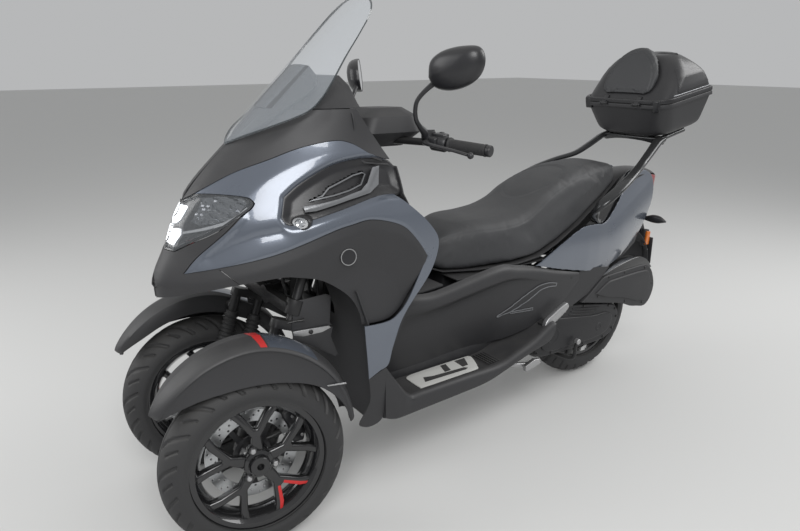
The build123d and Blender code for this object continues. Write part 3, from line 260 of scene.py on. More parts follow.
# %% Paint the solids
FINISHES = [(paint, "side_cowls tail_cowls"),
    (matte_black, "nose_cowl lower_cowls leg_shield front_liner body_covers floorboards tunnel_cover"),
    (matte_black, "fuel_lid plate_holder top_box_base dash_cowl handlebar_cowl storage_tub seat_pan"),
    (matte_black, "belly_pan fender_left fender_right duct_panels"),
    (satin_black, "top_box_lid hand_controls mirrors air_box"),
    (black_steel, "frame lean_arms fork_left fork_right handlebar swing_arm rear_shocks muffler"),
    (black_steel, "centre_stand grab_rails radiator"), (wheel_black, "rim_left rim_right rim_rear"),
    (tyre_rubber, "tyre_left tyre_right tyre_rear"), (disc_steel, "disc_left disc_right disc_rear"),
    (engine_grey, "engine cvt_case"), (cast_alloy, "passenger_pegs side_stand"),
    (soft_rubber, "hand_grips"), (vinyl, "seat backrest_pad"), (mat_pale, "foot_mats"),
    (red_lens, "tail_lamp"), (chrome, "headlamps indicators"), (screen_clear, "windscreen")]
for material, names in FINISHES:
    for name in names.split():
        if name not in nodes:
            print("missing", name)
            continue
        mesh = nodes[name].data
        mesh.materials.clear()
        mesh.materials.append(material)
unpainted = set(nodes) - {name for _, names in FINISHES for name in names.split()}
print("unpainted", unpainted)

# %% [markdown]
# ## Shared modelling steps
# Most pieces are made in a few ways: a profile spun round an axle, an outline extruded and
# bevelled, a sheet through a table of sections that a smooth curve fills in, or a softened copy of
# a CAD solid. Each way is one short helper here, so that the cells below can be read as tables of
# sizes.

# %% Selection, shading and modifiers
def deselected():
    """Leave edit mode behind with nothing selected."""
    if bpy.context.object and bpy.context.object.mode != "OBJECT":
        bpy.ops.object.mode_set(mode="OBJECT")
    bpy.ops.object.select_all(action="DESELECT")


def picked(made):
    """Select one piece and nothing else."""
    deselected()
    made.select_set(True)
    bpy.context.view_layer.objects.active = made


def editing(made):
    """Open a piece in edit mode with all of it selected."""
    picked(made)
    bpy.ops.object.mode_set(mode="EDIT")
    bpy.ops.mesh.select_all(action="SELECT")


def outward(made):
    """Make the normals of a piece agree and face outwards."""
    editing(made)
    bpy.ops.mesh.normals_make_consistent(inside=False)
    bpy.ops.object.mode_set(mode="OBJECT")


def modified(made, kind, **values):
    """Add a modifier with its values and apply it."""
    picked(made)
    modifier = made.modifiers.new("step", kind)
    for key, value in values.items():
        setattr(modifier, key, value)
    bpy.ops.object.modifier_apply(modifier="step")
    return made


def bevelled(made, width, segments, degrees):
    """Round the edges that are sharper than an angle."""
    return modified(made, "BEVEL", width=width, segments=segments, limit_method="ANGLE",
        angle_limit=radians(degrees))


def walled(made, thick):
    """Give a sheet a wall on its inner side."""
    return modified(made, "SOLIDIFY", thickness=thick, offset=-1)


def smooth(made, degrees=35):
    """Smooth shading with sharp creases kept."""
    picked(made)
    bpy.ops.object.shade_smooth_by_angle(angle=radians(degrees))


def joined(name, pieces):
    """Several mesh pieces as one."""
    picked(pieces[0])
    for piece in pieces:
        piece.select_set(True)
    if len(pieces) > 1:
        bpy.ops.object.join()
    pieces[0].name = name
    pieces[0].data.name = name
    return pieces[0]


def give(made, material, body, *replaced):
    """Set a piece's material and body, and hide the CAD solids that it stands for."""
    made.data.materials.clear()
    made.data.materials.append(material)
    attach(made, body)
    if replaced:
        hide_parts(*replaced)
    return made


def finished(made, degrees, material, body, *replaced):
    """Smooth a piece, then set what give sets."""
    smooth(made, degrees)
    give(made, material, body, *replaced)
    return made

# %% Lengths, and meshes from points
# Points closer than this are merged
SAME_POINT = 0.00002


def mm(rows):
    """Rows of lengths in millimetres, turned into metres."""
    return [tuple(value / 1000 for value in row) for row in rows]


def new_piece(name, points, edges, faces):
    """An object with a mesh of the given points, edges and faces."""
    mesh = bpy.data.meshes.new(name)
    mesh.from_pydata(points, edges, faces)
    made = bpy.data.objects.new(name, mesh)
    bpy.context.scene.collection.objects.link(made)
    return made


def twin_of(made):
    """A copy of a piece with its own mesh."""
    twin = made.copy()
    twin.data = made.data.copy()
    bpy.context.scene.collection.objects.link(twin)
    return twin


def moved(made, x, y, z):
    """Shift the mesh of a piece."""
    made.data.transform(Matrix.Translation((x, y, z)))
    return made


def flipped(made):
    """Turn a left piece into its right counterpart."""
    made.data.transform(Matrix.Scale(-1, 4, (0, 1, 0)))
    outward(made)
    return made


def scattered(name, piece, places):
    """Copies of a piece at places in side view, joined into one; the pattern piece goes."""
    copies = [moved(twin_of(piece), x, 0, z) for x, z in places]
    bpy.data.objects.remove(piece)
    return joined(name, copies)


# %% Spun and extruded pieces
def spun(name, points, steps, closed=True):
    """A profile of radius and y, turned round the Y axis, merged, with normals facing outwards."""
    count = len(points)
    edges = [(i, (i + 1) % count) for i in range(count if closed else count - 1)]
    made = new_piece(name, [(r, y, 0) for r, y in points], edges, [])
    editing(made)
    bpy.ops.mesh.spin(steps=steps, angle=2 * pi, center=(0, 0, 0), axis=(0, 1, 0))
    bpy.ops.mesh.select_all(action="SELECT")
    bpy.ops.mesh.remove_doubles(threshold=SAME_POINT)
    bpy.ops.mesh.normals_make_consistent(inside=False)
    bpy.ops.object.mode_set(mode="OBJECT")
    return made


def spun_at(name, points, steps, place, degrees=30):
    """A closed turned part with its centre at a place, smoothed."""
    made = moved(spun(name, points, steps, False), *place)
    smooth(made, degrees)
    return made


def plate(name, outline, thick, bevel=0.0, segments=2, inset=0.0, sink=0.0):
    """An outline in X and Z, extruded along Y from 0 to the thickness, bevelled and sunk."""
    made = new_piece(name, [(x, 0, z) for x, z in outline], [], [list(range(len(outline)))])
    editing(made)
    bpy.ops.mesh.extrude_region_move(TRANSFORM_OT_translate={"value": (0, thick, 0)})
    if inset > 0:
        bpy.ops.mesh.inset(thickness=inset, depth=-sink if thick > 0 else sink, use_even_offset=True)
    bpy.ops.mesh.select_all(action="SELECT")
    bpy.ops.mesh.normals_make_consistent(inside=False)
    bpy.ops.object.mode_set(mode="OBJECT")
    if bevel > 0:
        bevelled(made, bevel, segments, 30)
    return made


def copies_round(pieces, count, start=0.0):
    """Copies of pieces set round the Y axis, each with its own mesh."""
    out = []
    for index in range(count):
        turn = Matrix.Rotation(start + 2 * pi * index / count, 4, "Y")
        for piece in pieces:
            out.append(twin_of(piece))
            out[-1].data.transform(turn)
    for piece in pieces:
        bpy.data.objects.remove(piece)
    return out


# %% Sheets through tables
def eased(rows, steps):
    """Catmull-Rom rows through a table, with the given steps between neighbours."""
    out = []
    last = len(rows) - 1
    for i in range(last):
        before, start, end, after = rows[max(i - 1, 0)], rows[i], rows[i + 1], rows[min(i + 2, last)]
        for k in range(steps):
            t = k / steps
            out.append(tuple(0.5 * (2 * q + (r - p) * t + (2 * p - 5 * q + 4 * r - s) * t * t
                + (3 * q - p - 3 * r + s) * t ** 3) for p, q, r, s in zip(before, start, end, after)))
    out.append(tuple(rows[-1]))
    return out


def grid_object(name, rows, wrap=False):
    """A sheet of quads through rows of points; wrap joins each row's ends."""
    width = len(rows[0])
    faces = []
    for i in range(len(rows) - 1):
        for j in range(width if wrap else width - 1):
            k = (j + 1) % width
            faces.append((i * width + j, i * width + k, (i + 1) * width + k, (i + 1) * width + j))
    return new_piece(name, [tuple(p) for row in rows for p in row], [], faces)


def capped(made):
    """Close the open ends of a tube of rows."""
    shell = bmesh.new()
    shell.from_mesh(made.data)
    bmesh.ops.holes_fill(shell, edges=[edge for edge in shell.edges if edge.is_boundary], sides=0)
    shell.to_mesh(made.data)
    shell.free()
    outward(made)
    return made


# %% [markdown]
# Stems, levers and rails are bars whose section changes along a curve. The helper walks the
# curve, sets an oval at each step, and closes the ends, so a blade, a tube and a tapered stalk
# differ only in their tables: x, y, z, half width across and half height.

# %% Swept bars
def swept(name, stations, up=(0, 0, 1), steps=5, sides=16, power=2.0):
    """An oval bar along a curve through stations of x, y, z, half width, half height."""
    line = eased([tuple(station) for station in stations], steps)
    rows = []
    for index, (x, y, z, wide, high) in enumerate(line):
        ahead = Vector(line[min(index + 1, len(line) - 1)][:3])
        behind = Vector(line[max(index - 1, 0)][:3])
        along = (ahead - behind).normalized()
        across = along.cross(Vector(up)).normalized()
        rise = across.cross(along).normalized()
        ring = []
        for k in range(sides):
            c, s = cos(2 * pi * k / sides), sin(2 * pi * k / sides)
            out = across * wide * copysign(abs(c) ** (2 / power), c)
            ring.append(Vector((x, y, z)) + out + rise * high * copysign(abs(s) ** (2 / power), s))
        rows.append(ring)
    made = capped(grid_object(name, rows, wrap=True))
    smooth(made, 50)
    return made


# %% Mirror images
def paired(made, name):
    """The piece and its mirror image, joined."""
    return joined(name, [made, flipped(twin_of(made))])


def trimmed(sheet, facing, wall, rounding=0.0, segments=2, degrees=50):
    """Face a sheet outwards, give it a wall and round its rim."""
    turned_to(sheet, facing)
    walled(sheet, wall)
    if rounding > 0:
        bevelled(sheet, rounding, segments, degrees)
    return sheet


def round_bar(name, radius, points, sides=16, up=(0, 0, 1)):
    """A round bar of one radius along a curve through points."""
    return swept(name, [(*point, radius, radius) for point in points], up=up, sides=sides)


def mirrored(piece):
    """Copy a left piece to the right side within the same object."""
    modified(piece, "MIRROR", use_axis=(False, True, False), use_mirror_merge=False)
    return piece


# %% Placing and facing
def aimed(piece, place, direction, up=(0, 0, 1)):
    """Move a piece modelled about Y so that its Y axis points in a direction."""
    y_axis = Vector(direction).normalized()
    x_axis = y_axis.cross(Vector(up)).normalized()
    z_axis = x_axis.cross(y_axis)
    turn = Matrix((x_axis, y_axis, z_axis)).transposed().to_4x4()
    piece.data.transform(Matrix.Translation(Vector(place)) @ turn)
    return piece


def turned_to(made, direction):
    """Flip the sheet if it faces away from a direction."""
    way = Vector(direction)
    if sum(face.normal.dot(way) for face in made.data.polygons) < 0:
        made.data.flip_normals()
    return made


def between(table, value):
    """Straight interpolation in a table of pairs."""
    for (a, p), (b, q) in zip(table, table[1:]):
        if value <= b:
            return p + (q - p) * max(0.0, value - a) / (b - a)
    return table[-1][1]


# %% [markdown]
# ## Softened solids
# Many pieces have the right form in CAD but razor edges. A copy of each is welded, its flat
# facets are joined, and every sharp edge gets a small rounded bevel, as a moulding tool would
# leave it. The width of the rounding follows the size of the piece.

# %% Softened copies
def softened(name, width):
    """A rounded copy of a CAD node in world coordinates."""
    source = nodes[name]
    made = twin_of(source)
    made.name = "soft_" + name
    made.parent = None
    made.data.transform(source.matrix_world)
    made.matrix_world = Matrix.Identity(4)
    editing(made)
    bpy.ops.mesh.remove_doubles(threshold=SAME_POINT)
    bpy.ops.mesh.dissolve_limited(angle_limit=radians(1.0))
    bpy.ops.mesh.normals_make_consistent(inside=False)
    bpy.ops.object.mode_set(mode="OBJECT")
    bevelled(made, width, 3, 24)
    smooth(made, 32)
    return made


# %% [markdown]
# ## Wheels
# A road tyre is a round crown with slanted rain grooves. The crown is one profile spun round the
# axle with many steps, and the grooves are pressed in afterwards by moving the vertices that lie
# in them, because a groove pattern that curves over a crown has no simple extrusion. All three
# wheels are modelled once about the Y axis and then set on their axles.

# %% Wheel places
STEER_TURN = Matrix.Rotation(radians(-8.5), 4, Vector((-sin(radians(20)), 0, cos(radians(20)))))
joint_of = {joint["name"]: joint for joint in frame["joints"]}
# Columns: wheel, body, tyre radius, tyre width, rim width, outer side
WHEELS = [("left", "wheel_left", 0.262, 0.118, 0.096, 1), ("right", "wheel_right", 0.262, 0.118, 0.096, -1),
    ("rear", "wheel_rear", 0.276, 0.14, 0.112, 1)]


SIDES = (("left", 1), ("right", -1))


def wheel_matrix(tag):
    """Placement of a wheel modelled at the origin about the Y axis."""
    place = Matrix.Translation(Vector(joint_of["wheel_" + tag + "_spin"]["pos_m"]))
    return place if tag == "rear" else place @ STEER_TURN


# %% Tyres
def groove_depth(turn, across):
    """Depth of the rain grooves, 0 to 1, at a turn round the wheel and a place across the crown."""
    pitch = 16
    depth = 0.0
    for side, shift in ((1, 0.0), (-1, 0.5)):
        reach = across * side
        if not 0.06 < reach < 0.8:
            continue
        sweep = 0.55 * (reach - 0.06) ** 0.75
        for lane, start, end in ((0.0, 0.06, 0.8), (0.45, 0.34, 0.72)):
            if not start < reach < end:
                continue
            phase = (turn * pitch + shift + lane - sweep * 1.6) % 1.0
            near = min(phase, 1 - phase)
            width = 0.085 if lane == 0.0 else 0.06
            depth = max(depth, min(1.0, max(0.0, (width - near) / 0.03)))
    if abs(across) < 0.022:
        depth = max(depth, 0.9)
    return depth


# %% Tyre shape
def tyre_piece(tag, radius, width, rim_width):
    """A tyre with a round crown, grooved tread, side wall ring and bead."""
    half = width / 2
    bead = rim_width / 2 - 0.005
    crown_steps = 44
    low = radius - half * 0.93
    centre = (radius ** 2 - low ** 2 - half ** 2) / (2 * (radius - low))
    swing = pi / 2 if abs(centre - low) < 1e-6 else atan2(half, low - centre)
    crown_r = radius - centre
    turns = [swing * (i / crown_steps * 2 - 1) for i in range(crown_steps + 1)]
    crown = [(centre + crown_r * cos(turn), crown_r * sin(turn)) for turn in turns]
    wall = [(low - 0.006, half - 0.0008), (low - 0.012, half - 0.003), (low - 0.016, half - 0.0024),
        (0.196, bead + 0.0025), (0.192, bead), (0.1785, bead), (0.1785, bead - 0.009)]
    hidden = [(0.1785 + 0.03, 0.0)]
    points = crown + wall + hidden + [(r, -y) for r, y in wall[::-1]]
    made = spun("road_tyre_" + tag, points, 480)
    for vertex in made.data.vertices:
        reach = (vertex.co.x ** 2 + vertex.co.z ** 2) ** 0.5
        if reach < low - 0.001:
            continue
        turn = atan2(vertex.co.z, vertex.co.x) / (2 * pi)
        bend = atan2(vertex.co.y, reach - centre) / swing
        drop = 0.0045 * groove_depth(turn, bend)
        if drop > 0:
            away = Vector((vertex.co.x / reach * cos(bend * swing), sin(bend * swing),
                vertex.co.z / reach * cos(bend * swing)))
            vertex.co -= away * drop
    made.data.transform(wheel_matrix(tag))
    smooth(made, 32)
    return made


for tag, body, radius, width, rim_width, side in WHEELS:
    tyre = tyre_piece(tag, radius, width, rim_width)
    give(tyre, tyre_rubber, body, "tyre_" + tag)
    print(tyre.name, len(tyre.data.polygons))


# %% [markdown]
# ## Rims, hubs and brake discs
# The cast rim is a spun barrel with five spokes that fork towards the flange. The spokes are one
# flat outline, extruded and bevelled, which is how a pattern maker would draw them. Three bright
# bolts and a stepped cap stand on the hub. The disc behind is a ring with drilled holes, cut with
# one boolean.

# %% Rims
def fork_outline(seat_r):
    """One spoke that starts at the hub and forks towards the rim."""
    return [(-0.017, 0.036), (0.017, 0.036), (0.013, 0.08), (0.044, 0.128), (0.073, seat_r),
        (0.047, seat_r + 0.004), (0.03, 0.146), (0.004, 0.104), (-0.004, 0.104), (-0.03, 0.146),
        (-0.047, seat_r + 0.004), (-0.073, seat_r), (-0.044, 0.128), (-0.013, 0.08)]


def rim_piece(tag, rim_width, hub_in, hub_out, side):
    """Barrel, hub, forked spokes and cap of one wheel."""
    half = rim_width / 2
    flange, seat = 0.19, 0.178
    barrel = [(flange, -half), (flange, -half + 0.005), (seat, -half + 0.005), (seat, -half + 0.022),
        (seat - 0.016, -half + 0.034), (seat - 0.016, half - 0.034), (seat, half - 0.022),
        (seat, half - 0.005), (flange, half - 0.005), (flange, half), (flange - 0.004, half + 0.0008),
        (seat - 0.004, half - 0.001), (seat - 0.012, half - 0.012), (seat - 0.023, half - 0.034),
        (seat - 0.023, -half + 0.034), (seat - 0.012, -half + 0.012), (seat - 0.004, -half + 0.001),
        (flange - 0.004, -half - 0.0008)]
    parts = [spun("barrel", barrel, 96)]
    hub = [(0.0102, -hub_in), (0.04, -hub_in), (0.043, -hub_in + 0.003), (0.043, hub_out - 0.026),
        (0.04, hub_out - 0.018), (0.031, hub_out - 0.014), (0.029, hub_out - 0.003), (0.0265, hub_out),
        (0.0102, hub_out)]
    hub = [(r, y * side) for r, y in hub]
    parts.append(spun("hub", hub, 48))
    spoke = plate("spoke", fork_outline(0.16), 0.022, bevel=0.0035, segments=2, inset=0.006, sink=0.0025)
    if side < 0:
        flipped(spoke)
    moved(spoke, 0, side * 0.012, 0)
    parts += copies_round([spoke], 5)
    made = joined("cast_rim_" + tag, parts)
    made.data.transform(wheel_matrix(tag))
    smooth(made, 32)
    return made


# %% Hub lobes and bolts
def bolt_ring(tag, count, ring_r, y_face, side, start):
    """Domed bolts on the hub's lobes."""
    parts = []
    lobe = spun("lobe", mm([(0, -16), (13.5, -16), (13.5, 0), (11.5, 3), (0, 3)]), 20, False)
    head = spun("head", mm([(0, 3), (7.8, 3), (7.8, 8), (6, 10.5), (0, 11.2)]), 14, False)
    for piece in (lobe, head):
        moved(piece, 0, 0, ring_r)
        if side < 0:
            flipped(piece)
        moved(piece, 0, y_face, 0)
    lobes = copies_round([lobe], count, start)
    heads = copies_round([head], count, start)
    lobes = joined("hub_lobes_" + tag, lobes)
    heads = joined("hub_bolts_" + tag, heads)
    for piece in (lobes, heads):
        piece.data.transform(wheel_matrix(tag))
        smooth(piece, 35)
    return lobes, heads


for tag, body, radius, width, rim_width, side in WHEELS:
    hub_in, hub_out = (0.03, 0.056) if tag != "rear" else (0.06, 0.06)
    rim = rim_piece(tag, rim_width, hub_in, hub_out, side)
    give(rim, wheel_black, body, "rim_" + tag)
    lobes, heads = bolt_ring(tag, 3, 0.046, side * 0.036, side, radians(18))
    give(lobes, wheel_black, body)
    give(heads, cast_alloy, body)
    print(rim.name, len(rim.data.polygons))


# %% Brake discs
def disc_piece(tag, offset, side):
    """A drilled ring, its five-armed carrier and the hub flange."""
    thick = 0.005
    ring = spun("disc_ring", [(0.0975, 0), (0.1335, 0), (0.1335, thick), (0.0975, thick)], 96)
    drills = []
    for row, shift in ((0.104, 0.0), (0.1155, 0.11), (0.127, 0.22)):
        for index in range(20):
            turn = 2 * pi * index / 20 + shift
            bpy.ops.mesh.primitive_cylinder_add(vertices=10, radius=0.0034, depth=0.02,
                location=(row * cos(turn), thick / 2, row * sin(turn)), rotation=(pi / 2, 0, 0))
            drills.append(bpy.context.object)
    cutter = joined("drills", drills)
    modified(ring, "BOOLEAN", object=cutter, operation="DIFFERENCE", solver="EXACT")
    bpy.data.objects.remove(cutter)
    arm = plate("disc_arm", mm([(-12, 46), (12, 46), (7, 84), (10, 106), (-10, 106), (-7, 84)]),
        thick * 0.9, bevel=0.0008, segments=1)
    moved(arm, 0, thick * 0.05, 0)
    arms = copies_round([arm], 5, radians(36))
    centre = spun("disc_centre", [(0.0102, 0), (0.052, 0), (0.054, 0.001), (0.054, thick - 0.001),
        (0.052, thick), (0.0102, thick)], 48)
    carrier = joined("disc_carrier_" + tag, arms + [centre])
    ring.name = "brake_disc_" + tag
    for piece in (ring, carrier):
        if side < 0:
            flipped(piece)
        moved(piece, 0, offset, 0)
        piece.data.transform(wheel_matrix(tag))
        smooth(piece, 32)
    return ring, carrier


for tag, body, radius, width, rim_width, side in WHEELS:
    offset = -side * 0.035 if tag != "rear" else -0.06
    facing = side if tag != "rear" else -1
    ring, carrier = disc_piece(tag, offset, facing)
    give(ring, disc_steel, body, "disc_" + tag)
    give(carrier, engine_grey, body, "disc_" + tag)
    print(ring.name, len(ring.data.polygons))


# %% [markdown]
# ## Front fenders
# Each fender is a thin moulded shell that follows its tyre from a pointed beak in front to a tail
# behind, with a soft ridge along the crown and a ledge above the outer skirt. A short table gives
# its sections round the wheel, and a smooth curve through the table fills in the rest, as a
# clay modeller would sweep a template. Solidify then gives the wall.

# %% Fender shells
# Columns: angle round the wheel, crest radius, half width, inner skirt, outer skirt, ledge
FENDER_ROWS = [(37.0, 0.329, 0.014, 0.004, 0.004, 0.0), (41.0, 0.335, 0.036, 0.014, 0.014, 0.0),
    (54.0, 0.345, 0.058, 0.034, 0.044, 0.001), (72.0, 0.355, 0.064, 0.046, 0.08, 0.004),
    (92.0, 0.36, 0.065, 0.054, 0.094, 0.006), (112.0, 0.35, 0.065, 0.05, 0.078, 0.006),
    (134.0, 0.334, 0.065, 0.036, 0.042, 0.003), (152.0, 0.318, 0.062, 0.022, 0.016, 0.0),
    (167.0, 0.308, 0.05, 0.008, 0.006, 0.0)]


def fender_piece(tag, side):
    """A fender shell about the wheel's axle before it is turned."""
    rows = []
    for angle, crest, half, inner, outer, ledge in eased(FENDER_ROWS, 7):
        radial = Vector((cos(radians(angle)), 0, sin(radians(angle))))
        across = Vector((0, side, 0))
        shape = [(-half, -inner - 0.012), (-half * 0.99, -0.022), (-half * 0.93, -0.012),
            (-half * 0.75, -0.0065), (-half * 0.4, -0.0025), (-half * 0.12, -0.0008), (0, 0.0006),
            (half * 0.12, -0.0012), (half * 0.4, -0.005), (half * 0.68, -0.01), (half * 0.88, -0.0165),
            (half * 0.955, -0.021), (half * 0.965, -0.0235), (half * 0.955 - ledge, -0.0255),
            (half * 0.94 - ledge, -0.029), (half * 0.955 - ledge * 0.5, -0.022 - outer * 0.5),
            (half * 0.985, -0.018 - outer), (half, -0.022 - outer)]
        rows.append([radial * (crest + down) + across * out for out, down in shape])
    made = grid_object("front_fender_" + tag, rows)
    made.data.transform(wheel_matrix(tag))
    outward(made)
    walled(made, 0.0035)
    bevelled(made, 0.0012, 2, 50)
    smooth(made, 40)
    return made


for tag, side in SIDES:
    fender = fender_piece(tag, side)
    give(fender, matte_black, "fork_" + tag, "fender_" + tag)
    print(fender.name, len(fender.data.polygons))


# %% [markdown]
# ## Marks on the front fenders
# The crown of each fender carries a painted patch with a red bar ahead of it, and a short pale
# reflector sits low on the rear skirt. They are thin sheets laid on the fender itself, so they are
# described by the angle round the wheel and the place across the crown.

# %% Fender marks
def fender_point(angle, across, lift, side):
    """A point on the fender's crown or skirt; across runs from -1 inside to 1 outside."""
    rows = eased(FENDER_ROWS, 7)
    for low, high in zip(rows, rows[1:]):
        if angle <= high[0]:
            break
    t = (angle - low[0]) / (high[0] - low[0])
    crest, half = low[1] + (high[1] - low[1]) * t, low[2] + (high[2] - low[2]) * t
    drop = between([(-1.0, -0.016), (-0.75, -0.0065), (-0.4, -0.0025), (-0.12, -0.0008), (0.0, 0.0006),
        (0.12, -0.0012), (0.4, -0.005), (0.68, -0.01), (0.88, -0.0165), (0.955, -0.021)], across)
    reach = crest + drop + lift
    return Vector((reach * cos(radians(angle)), side * across * half, reach * sin(radians(angle))))


def fender_patch(name, corners, side, lift=0.0007):
    """A thin sheet on a fender between four corners of angle and place across."""
    (a0, u0), (a1, u1), (a2, u2), (a3, u3) = corners
    rows = []
    for i in range(13):
        s = i / 12
        rows.append([fender_point((a0 + (a3 - a0) * s) * (1 - t) + (a1 + (a2 - a1) * s) * t,
            (u0 + (u3 - u0) * s) * (1 - t) + (u1 + (u2 - u1) * s) * t, lift, side)
            for t in [k / 24 for k in range(25)]])
    made = grid_object(name, rows)
    made.data.transform(wheel_matrix("left" if side > 0 else "right"))
    trimmed(made, (0, 0, 1), 0.0012)
    smooth(made, 50)
    return made


def beside_wheel(made, tag, side):
    """Turn a piece, drawn straight ahead about a left wheel's centre, to its place on a side."""
    if side < 0:
        flipped(made)
    made.data.transform(wheel_matrix(tag))
    return made


# %% Patches, red bars and reflectors
for tag, side in SIDES:
    patch = fender_patch("fender_patch_" + tag, [(97, -0.6), (117, -0.92), (124, 0.8), (98.5, 0.84)], side)
    give(patch, paint, "fork_" + tag)
    bar = fender_patch("fender_red_bar_" + tag, [(91.5, -0.62), (96.0, -0.6), (97.6, 0.84), (94.6, 0.84)],
        side, 0.0008)
    give(bar, red_stripe, "fork_" + tag)
    strip = plate("skirt_reflector_" + tag, mm([(-28, 0), (28, 5), (30, 9), (-26, 5)]), 0.0022)
    moved(strip, 0.322 * cos(radians(136)), 0.0632, 0.322 * sin(radians(136)) - 0.034)
    beside_wheel(strip, tag, side)
    bevelled(strip, 0.0006, 1, 30)
    finished(strip, 35, cast_alloy, "fork_" + tag)
print("fender marks")

# %% [markdown]
# ## Red bars on the wheels
# One window between two spokes is lined in red: a bar along each of the two spoke arms that meet
# there. They are thin raised strips on the face of the spokes.

# %% Red bars
for tag, side in SIDES:
    strips = []
    for way in (1, -1):
        outline = mm([(way * 5, 102), (way * 12, 96), (way * 39.5, 139.5), (way * 56, 159), (way * 46, 161),
            (way * 30, 146.5)])
        strip = plate("red_strip", outline, 0.0042, bevel=0.001)
        moved(strip, 0, 0.0325, 0)
        strips.append(strip)
    strips = joined("wheel_red_bars_" + tag, strips)
    strips.data.transform(Matrix.Rotation(radians(-144 if side > 0 else 72), 4, "Y"))
    if side < 0:
        flipped(strips)
    strips.data.transform(wheel_matrix(tag))
    finished(strips, 35, red_stripe, "wheel_" + tag)

# %% [markdown]
# ## Forks and brakes
# Behind each front wheel two tubes run side by side from the axle bracket to the crown. The tubes
# get dust boots and collars, and the bracket carries a caliper round the rear of the disc.
# The CAD fork has the right bars, so a softened copy of it stays underneath.

# %% Forks
STEER_UP = Vector((-sin(radians(20)), 0, cos(radians(20))))
STEER_AHEAD = Vector((cos(radians(20)), 0, sin(radians(20))))


AXIS_FOOT = Vector((-0.0274, -0.087, 0.0))
for tag, side in SIDES:
    body = "fork_" + tag
    give(softened("fork_" + tag, 0.0014), black_steel, body, "fork_" + tag)
    sleeves, collars = [], []
    for shift in (-0.038, 0.038):
        foot = AXIS_FOOT + STEER_AHEAD * shift
        boot = mm([(15.5, 170), (19.5, 172)])
        for fold in range(9):
            boot += [(0.0235, 0.178 + fold * 0.013), (0.019, 0.1845 + fold * 0.013)]
        boot += mm([(19.5, 296), (15.5, 298)])
        for profile, bucket in ((boot, sleeves),
                (mm([(15.5, 55), (21.5, 56), (21.5, 150), (18.5, 156), (18.5, 166), (15.5, 168)]),
                collars)):
            tube = spun("sleeve", profile, 28, closed=False)
            aimed(tube, foot, STEER_UP, (0, 1, 0))
            bucket.append(beside_wheel(tube, tag, side))
    for name, bucket, material in (("fork_boots_", sleeves, soft_rubber),
            ("fork_lowers_", collars, satin_black)):
        made = finished(joined(name + tag, bucket), 40, material, body)
    caliper = plate("caliper", mm([(-150, 4), (-158, 42), (-140, 82), (-106, 112), (-88, 100), (-104, 64),
        (-115, 28), (-117, 4)]), 0.044, bevel=0.007, segments=3)
    moved(caliper, 0, -0.0595, 0)
    bridge = plate("caliper_bridge", mm([(-128, 30), (-136, 58), (-120, 80), (-110, 74), (-122, 54),
        (-117, 32)]), 0.05, bevel=0.003)
    moved(bridge, 0, -0.06, 0)
    caliper = beside_wheel(joined("brake_caliper_" + tag, [caliper, bridge]), tag, side)
    finished(caliper, 35, satin_black, body)
    pin = spun("caliper_pin", mm([(0, -12), (5.2, -12), (5.2, -8.5), (4, -7.5), (0, -7.5)]), 6, False)
    pins = scattered("caliper_pins_" + tag, pin, mm([(-143, 28), (-118, 92), (-128, 62)]))
    beside_wheel(pins, tag, side)
    finished(pins, 30, cast_alloy, body)
    link = swept("caliper_arm_" + tag,
        mm([(-40, -70, 10, 12, 10), (-80, -64, 22, 12, 9), (-112, -56, 40, 12, 9)]))
    beside_wheel(link, tag, side)
    give(link, black_steel, body)
print("forks")

# %% [markdown]
# ## Splash panels behind the forks
# A folded panel hangs between each fork and the crown of its fender. Its fold carries a bright
# strip with one screw. It keeps spray off the arms, and it turns with the fork.

# %% Splash panels
SPLASH_TOP = mm([(-150, 325), (-162, 402), (-172, 414), (-260, 420), (-276, 412), (-268, 330), (-274, 322)])
SPLASH_LOW = mm([(-152, 300), (-150, 322), (-274, 319), (-266, 290), (-286, 230), (-276, 226), (-215, 268)])
for tag, side in SIDES:
    pieces = []
    for outline, place in ((SPLASH_TOP, -0.069), (SPLASH_LOW, -0.062)):
        sheet = plate("splash", outline, 0.004, bevel=0.0012)
        moved(sheet, 0, place, 0)
        pieces.append(beside_wheel(sheet, tag, side))
    finished(joined("splash_panel_" + tag, pieces), 35, matte_black, "fork_" + tag)
    strip = plate("splash_strip", mm([(-154, 314), (-152, 327), (-262, 325), (-268, 318), (-240, 309),
        (-180, 306)]), 0.007, bevel=0.0016)
    moved(strip, 0, -0.064, 0)
    beside_wheel(strip, tag, side)
    smooth(strip, 35)
    strip.name = "splash_strip_" + tag
    give(strip, cast_alloy, "fork_" + tag)
    screw = spun("splash_screw", mm([(0, 3), (5.5, 3), (6.8, 1.8), (6.8, -3), (0, -3)]), 16, False)
    moved(screw, -0.205, -0.056, 0.317)
    beside_wheel(screw, tag, side)
    smooth(screw, 30)
    screw.name = "splash_screw_" + tag
    give(screw, black_steel, "fork_" + tag)
    brace = swept("splash_brace_" + tag, mm([(-110, -82, 340, 10, 6), (-150, -75, 352, 10, 5),
        (-190, -68, 356, 12, 4)]))
    beside_wheel(brace, tag, side)
    give(brace, black_steel, "fork_" + tag)
print("splash panels")

# %% [markdown]
# ## Arms and frame
# The two leaning arms and the frame are welded steel. Their CAD bars are right, so softened copies
# are enough. A spring strut and two hoses fill the space between the arms, where the photograph
# shows dark tubes crossing.

# %% Arms, frame and struts
give(softened("lean_arms", 0.002), black_steel, "chassis", "lean_arms")
give(softened("frame", 0.0016), black_steel, "chassis", "frame")


